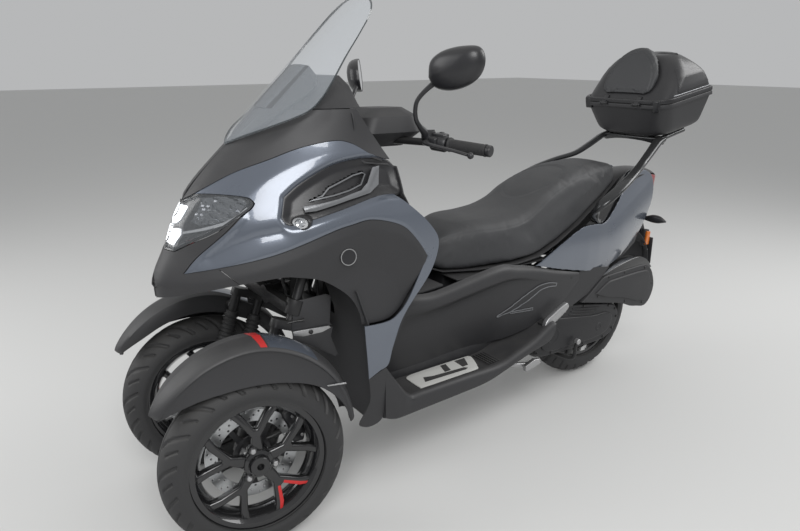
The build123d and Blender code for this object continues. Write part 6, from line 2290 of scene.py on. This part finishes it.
# %% Passenger pegs
PEG_RING = smooth_ring([(-288, 456), (-297, 446), (-296, 432), (-262, 409), (-212, 382), (-206, 362),
    (-190, 358), (-178, 372), (-176, 392), (-190, 412), (-214, 424), (-250, 442), (-288, 456)])
peg = plate("peg_blades", PEG_RING, 0.017, inset=0.004, sink=0.0016)
moved(peg, 0, 0.2225, 0)
bevelled(peg, 0.0028, 3, 35)
peg_ribs = []
for k in range(5):
    x, z = -0.216 - k * 0.015, 0.398 + k * 0.0078
    peg_ribs.append(swept("rib", [(x - 0.006, 0.2392, z - 0.01, 0.0016, 0.0014),
        (x, 0.24, z, 0.002, 0.0016), (x + 0.006, 0.2392, z + 0.01, 0.0016, 0.0014)], up=(0, 1, 0), sides=8))
smooth(peg, 35)
peg = joined("passenger_peg_blades", [peg] + peg_ribs)
clevis = moulded("peg_clevis", mm([(-176, 352), (-214, 352), (-220, 384), (-200, 402), (-174, 392)]),
    0.2005, 0.2265, 0.004, 3)
arm = swept("peg_arm", mm([(-204, 186, 352, 12, 10), (-203, 205, 360, 12, 11), (-199, 222, 374, 12, 11)]))
for piece, material in ((peg, cast_alloy), (clevis, black_steel), (arm, black_steel)):
    finished(mirrored(piece), 40, material, "chassis", *(("passenger_pegs",) if piece is peg else ()))

# %% Side stand
SHOE_RING = mm([(-150, 186), (-222, 199), (-228, 206), (-222, 222), (-196, 226), (-146, 212)])
leg = swept("stand_leg", mm([(-30, 115, 222, 12, 10), (-62, 124, 217, 11, 10), (-110, 142, 212, 10, 9),
    (-160, 158, 205, 9, 9), (-204, 170, 203, 9, 9)]), sides=18, power=2.6)
knuckle = spun("stand_knuckle", mm([(8.2, 108), (15, 108), (16.2, 109.5), (16.2, 120.5), (15, 122),
    (8.2, 122)]), 32)
moved(knuckle, -0.03, 0, 0.222)
shoe = moulded("stand_shoe", SHOE_RING, 0.166, 0.184, 0.003, 3)
flat = moulded("stand_flat", mm([(-52, 206), (-150, 192), (-152, 214), (-82, 229), (-54, 226)]), 0.124,
    0.132, 0.0022, 3)
smooth(knuckle, 35)
give(joined("side_stand_leg", [leg, knuckle, shoe, flat]), cast_alloy, "side_stand", "side_stand")
pivot_bolt = spun_at("side_stand_bolt", mm([(0, 123), (9.5, 123), (10.5, 124), (10.5, 128.5), (8.5, 130),
    (0, 130)]), 6, (-0.03, 0, 0.222))
give(pivot_bolt, black_steel, "chassis")

# %% Centre stand
TUBE = mm([(-300, 36, 196), (-300, 58, 196), (-314, 70, 191), (-360, 78, 176), (-420, 88, 168),
    (-478, 97.5, 160)])
FOOT_RING = mm([(-462, 150), (-492, 147), (-496, 168), (-486, 174), (-464, 172)])
HEEL = mm([(-398, 84, 171), (-405, 115, 166), (-418, 160, 164), (-426, 176, 172), (-428, 181, 200),
    (-424, 184, 222), (-430, 186, 238)])
stand_parts = [paired(round_bar("stand_tube", 0.01, TUBE, 20), "stand_tubes"),
    paired(moulded("stand_foot", FOOT_RING, 0.0815, 0.1135, 0.003, 3), "stand_feet"),
    round_bar("pivot_tube", 0.01, mm([(-300, -40, 196), (-300, 0, 196), (-300, 40, 196)]), 24),
    round_bar("cross_tube", 0.008, mm([(-345, -75, 181), (-345, 0, 181), (-345, 75, 181)]), 20),
    round_bar("heel_lever", 0.007, HEEL, 16, (1, 0, 0.1))]
centre = give(joined("centre_stand_tubes", stand_parts), black_steel, "centre_stand", "centre_stand")
pad = spun_at("heel_pad", mm([(0, -9), (9.5, -9), (11, -7.5), (11, 7.5), (9.5, 9), (0, 9)]), 24,
    (-0.431, 0.186, 0.243), 35)
give(pad, cast_alloy, "centre_stand")
print("pegs and stands")

# %% [markdown]
# ## Handlebar, mirrors and controls
# The scooter is parked with its bars turned a little to the right. Pieces here are drawn straight
# ahead, and one matrix turns them with the stem.

# %% Turn of the bars
BAR_PIN = Vector((0.402, 0, 1.075))
BAR_TURN = Matrix.Translation(BAR_PIN) @ STEER_TURN @ Matrix.Translation(-BAR_PIN)


def on_bars(made):
    """Turn a piece from straight ahead to the parked angle of the bars."""
    made.data.transform(BAR_TURN)
    made.data.update()
    return made


# %% Grips with ribs and bar ends
GRIP_START, GRIP_END = Vector((0.301, 0.228, 1.08)), Vector((0.227, 0.363, 1.062))
grip_way = (GRIP_END - GRIP_START).normalized()
grip_profile = mm([(11.2, 30), (20.5, 31), (21.5, 34), (20.5, 38), (17, 40)])
for rib in range(22):
    start = 0.042 + rib * 0.0046
    grip_profile += [(0.0172, start), (0.0172, start + 0.0026), (0.0162, start + 0.0032),
        (0.0162, start + 0.0042)]
grip_profile += mm([(17.2, 146), (18, 149), (18, 153), (15, 153.5)])
END_PROFILE = mm([(0, 153.5), (15.5, 153.5), (16.8, 156), (16.8, 166), (15, 168.5), (0, 169)])
grip_turn = Vector((0, 1, 0)).rotation_difference(grip_way).to_matrix().to_4x4()


def set_on_grip(made):
    """Move a piece spun round Y onto the left grip's axis."""
    made.data.transform(Matrix.Translation(GRIP_START) @ grip_turn)
    return made


grips = set_on_grip(spun("grips", grip_profile, 28, closed=False))
smooth(grips, 30)
grips = on_bars(paired(grips, "hand_grips_ribbed"))
give(grips, soft_rubber, "handlebar", "hand_grips")
ends = set_on_grip(spun("bar_ends", END_PROFILE, 28, closed=False))
smooth(ends, 30)
ends = on_bars(paired(ends, "bar_end_weights"))
give(ends, satin_black, "handlebar")

# %% Switch housings
def housing(name, along, radii, boxes):
    """A switch housing round the bar with its buttons."""
    shell = spun(name, [(0.0125, along), (radii[0], along + 0.001), (radii[1], along + 0.006),
        (radii[1], along + 0.046), (radii[0], along + 0.053), (0.0125, along + 0.054)], 28, closed=False)
    set_on_grip(shell)
    smooth(shell, 30)
    pieces = [shell]
    for offset, out, up, size in boxes:
        bpy.ops.mesh.primitive_cube_add(size=1)
        knob = bpy.context.object
        knob.data.transform(Matrix.Diagonal((*size, 1)))
        bevelled(knob, min(size) * 0.22, 3, 30)
        spot = GRIP_START + grip_way * offset
        knob.data.transform(Matrix.Translation(spot + Vector((out, 0, up))) @ grip_turn)
        smooth(knob, 40)
        pieces.append(knob)
    return joined(name, pieces)


SWITCHES = [(0.0, -0.002, 0.02, (0.034, 0.04, 0.016)), (-0.006, -0.024, 0.01, (0.012, 0.016, 0.012)),
    (0.01, -0.025, -0.003, (0.01, 0.012, 0.01)), (-0.012, -0.018, 0.024, (0.014, 0.012, 0.012)),
    (-0.002, 0.02, 0.006, (0.03, 0.03, 0.026))]
switchgear = housing("switchgear", -0.028, (0.021, 0.0245), SWITCHES)
switchgear = on_bars(paired(switchgear, "switchgear"))
give(switchgear, satin_black, "handlebar", "hand_controls")

# %% Levers with ball ends
LEVER = mm([(322, 205, 1084, 12, 10), (346, 222, 1084, 11, 8), (352, 245, 1081, 10, 6),
    (338, 285, 1074, 9, 5), (318, 325, 1066, 8, 4.5), (306, 352, 1060, 7, 4.5), (298, 374, 1055.5, 6, 4.5)])
lever = swept("lever", LEVER)
ball = spun("lever_ball", mm([(0, -10), (4.5, -8.8), (8.2, -5), (9.5, 0), (8.2, 5), (4.5, 8.8), (0, 10)]),
    20, closed=False)
moved(ball, 0.2945, 0.381, 1.054)
smooth(ball, 80)
clamp = swept("lever_clamp", mm([(300, 196, 1086, 16, 17), (318, 203, 1085, 16, 16),
    (334, 210, 1084, 14, 12)]))
reservoir = spun("reservoir", mm([(0, 0), (20, 0), (21.5, 2), (21.5, 20), (19, 22.5), (19, 26), (0, 27)]),
    28, closed=False)
reservoir.data.transform(Matrix.Translation((0.322, 0.196, 1.092)) @ Matrix.Rotation(radians(90), 4, "X"))
smooth(reservoir, 30)
levers = on_bars(paired(joined("levers", [lever, ball, clamp, reservoir]), "levers"))
give(levers, satin_black, "handlebar")

# %% [markdown]
# Each mirror has a curved stalk with a rubber foot and a leaf-shaped head: blunt at the inner
# end, pointed at the outer lower corner. The head is a crowned shell with a mirror plate sunk in
# the face that looks back at the rider.

# %% Mirrors
STALK = mm([(328, 200, 1094, 12.5, 12.5), (340, 204, 1112, 11.5, 11.5), (362, 214, 1132, 7.5, 7.5),
    (378, 224, 1152, 6.6, 6.6), (383, 230, 1180, 6.4, 6.4), (378, 236, 1206, 6.4, 6.4),
    (360, 252, 1232, 7, 6.4), (338, 276, 1256, 9, 7)])
stalk = swept("mirror_stalk", STALK, up=(0, 1, 0.1))
HEAD = mm([(-88, 6), (-78, 34), (-50, 52), (-10, 59), (34, 54), (68, 38), (88, 12), (92, -16), (78, -36),
    (40, -47), (0, -52), (-40, -49), (-72, -32), (-88, 6)])
head_ring = curve_through(HEAD, 5)[:-1]
MIRROR_AT = Vector((0.318, 0.335, 1.29))
mirror_out = Vector((-0.42, 0.85, 0.2)).normalized()
mirror_back = Vector((-0.85, -0.45, 0.1)).normalized()
mirror_up = mirror_back.cross(mirror_out).normalized()


def on_mirror(a, b, depth):
    """A point of the left mirror's head: outwards, up, and towards the rider."""
    return MIRROR_AT + mirror_out * a + mirror_up * b + mirror_back * depth


# %% Mirror heads and plates
SHELL = [(0.9, 0.016), (0.985, 0.0175), (1.0, 0.014), (0.995, 0.006), (0.95, -0.006), (0.84, -0.016),
    (0.62, -0.024), (0.34, -0.0285), (0.1, -0.03)]
rows = [[on_mirror(a * grow, b * grow, depth) for a, b in head_ring] for grow, depth in SHELL]
head = grid_object("mirror_head", rows, wrap=True)
capped(head)
smooth(head, 40)
GLASS = [(0.9, 0.0162), (0.895, 0.0135), (0.5, 0.0133), (0.1, 0.0132)]
glass_rows = [[on_mirror(a * grow, b * grow, depth) for a, b in head_ring] for grow, depth in GLASS]
glass = capped(grid_object("mirror_glass", glass_rows, wrap=True))
smooth(glass, 30)
stalks = on_bars(paired(joined("mirror_stalks", [stalk]), "mirror_stalks"))
give(stalks, satin_black, "handlebar")
heads = on_bars(paired(head, "mirror_heads"))
give(heads, satin_black, "handlebar", "mirrors")
plates = on_bars(paired(glass, "mirror_plates"))
give(plates, chrome, "handlebar")
print("bars", sum(len(o.data.polygons) for o in (grips, ends, switchgear, levers, heads)))

# %% [markdown]
# ## Floor, light and camera
# The scooter stands on a plain pale floor under large soft lamps. The camera stands where the
# photograph was taken: ahead of the left front wheel, a little above the mirrors' height.

# %% Stage
bpy.ops.mesh.primitive_plane_add(size=60, location=(0, 0, 0))
floor = bpy.context.object
floor.name = "floor"
floor_paint = bpy.data.materials.new("pale_floor")
floor_paint.use_nodes = True
floor_shader = floor_paint.node_tree.nodes["Principled BSDF"]
floor_shader.inputs["Base Color"].default_value = (0.62, 0.62, 0.61, 1)
floor_shader.inputs["Roughness"].default_value = 0.85
floor.data.materials.append(floor_paint)

world = bpy.data.worlds.new("studio")
bpy.context.scene.world = world
world.use_nodes = True
sky = world.node_tree.nodes["Background"]
sky.inputs["Color"].default_value = (0.86, 0.87, 0.88, 1)
sky.inputs["Strength"].default_value = 0.55


def soft_lamp(name, place, target, width, power):
    """A square area lamp that looks at a point."""
    data = bpy.data.lights.new(name, "AREA")
    data.size = width
    data.energy = power
    lamp = bpy.data.objects.new(name, data)
    lamp.location = place
    lamp.rotation_euler = (Vector(target) - Vector(place)).to_track_quat("-Z", "Y").to_euler()
    bpy.context.scene.collection.objects.link(lamp)


soft_lamp("key_lamp", (2.2, 3.2, 3.4), (0.2, 0, 0.6), 2.4, 130)
soft_lamp("fill_lamp", (3.6, -2.0, 2.2), (0.3, 0, 0.7), 2.6, 60)
soft_lamp("rim_lamp", (-3.2, 1.4, 3.0), (-0.4, 0, 0.7), 2.2, 70)

# %% Camera
CAMERA_PLACE = Vector((1.578, 1.798, 1.338))
CAMERA_YAW = radians(-125.2)
CAMERA_PITCH = radians(-17.4)
view_line = Vector((cos(CAMERA_YAW) * cos(CAMERA_PITCH), sin(CAMERA_YAW) * cos(CAMERA_PITCH),
    sin(CAMERA_PITCH)))
camera_data = bpy.data.cameras.new("photo_camera")
camera_data.lens = 30.15
camera_data.sensor_width = 36
camera = bpy.data.objects.new("photo_camera", camera_data)
camera.location = CAMERA_PLACE
camera.rotation_euler = view_line.to_track_quat("-Z", "Y").to_euler()
bpy.context.scene.collection.objects.link(camera)
bpy.context.scene.camera = camera
bpy.context.scene.view_settings.view_transform = "Standard"

bpy.context.view_layer.update()
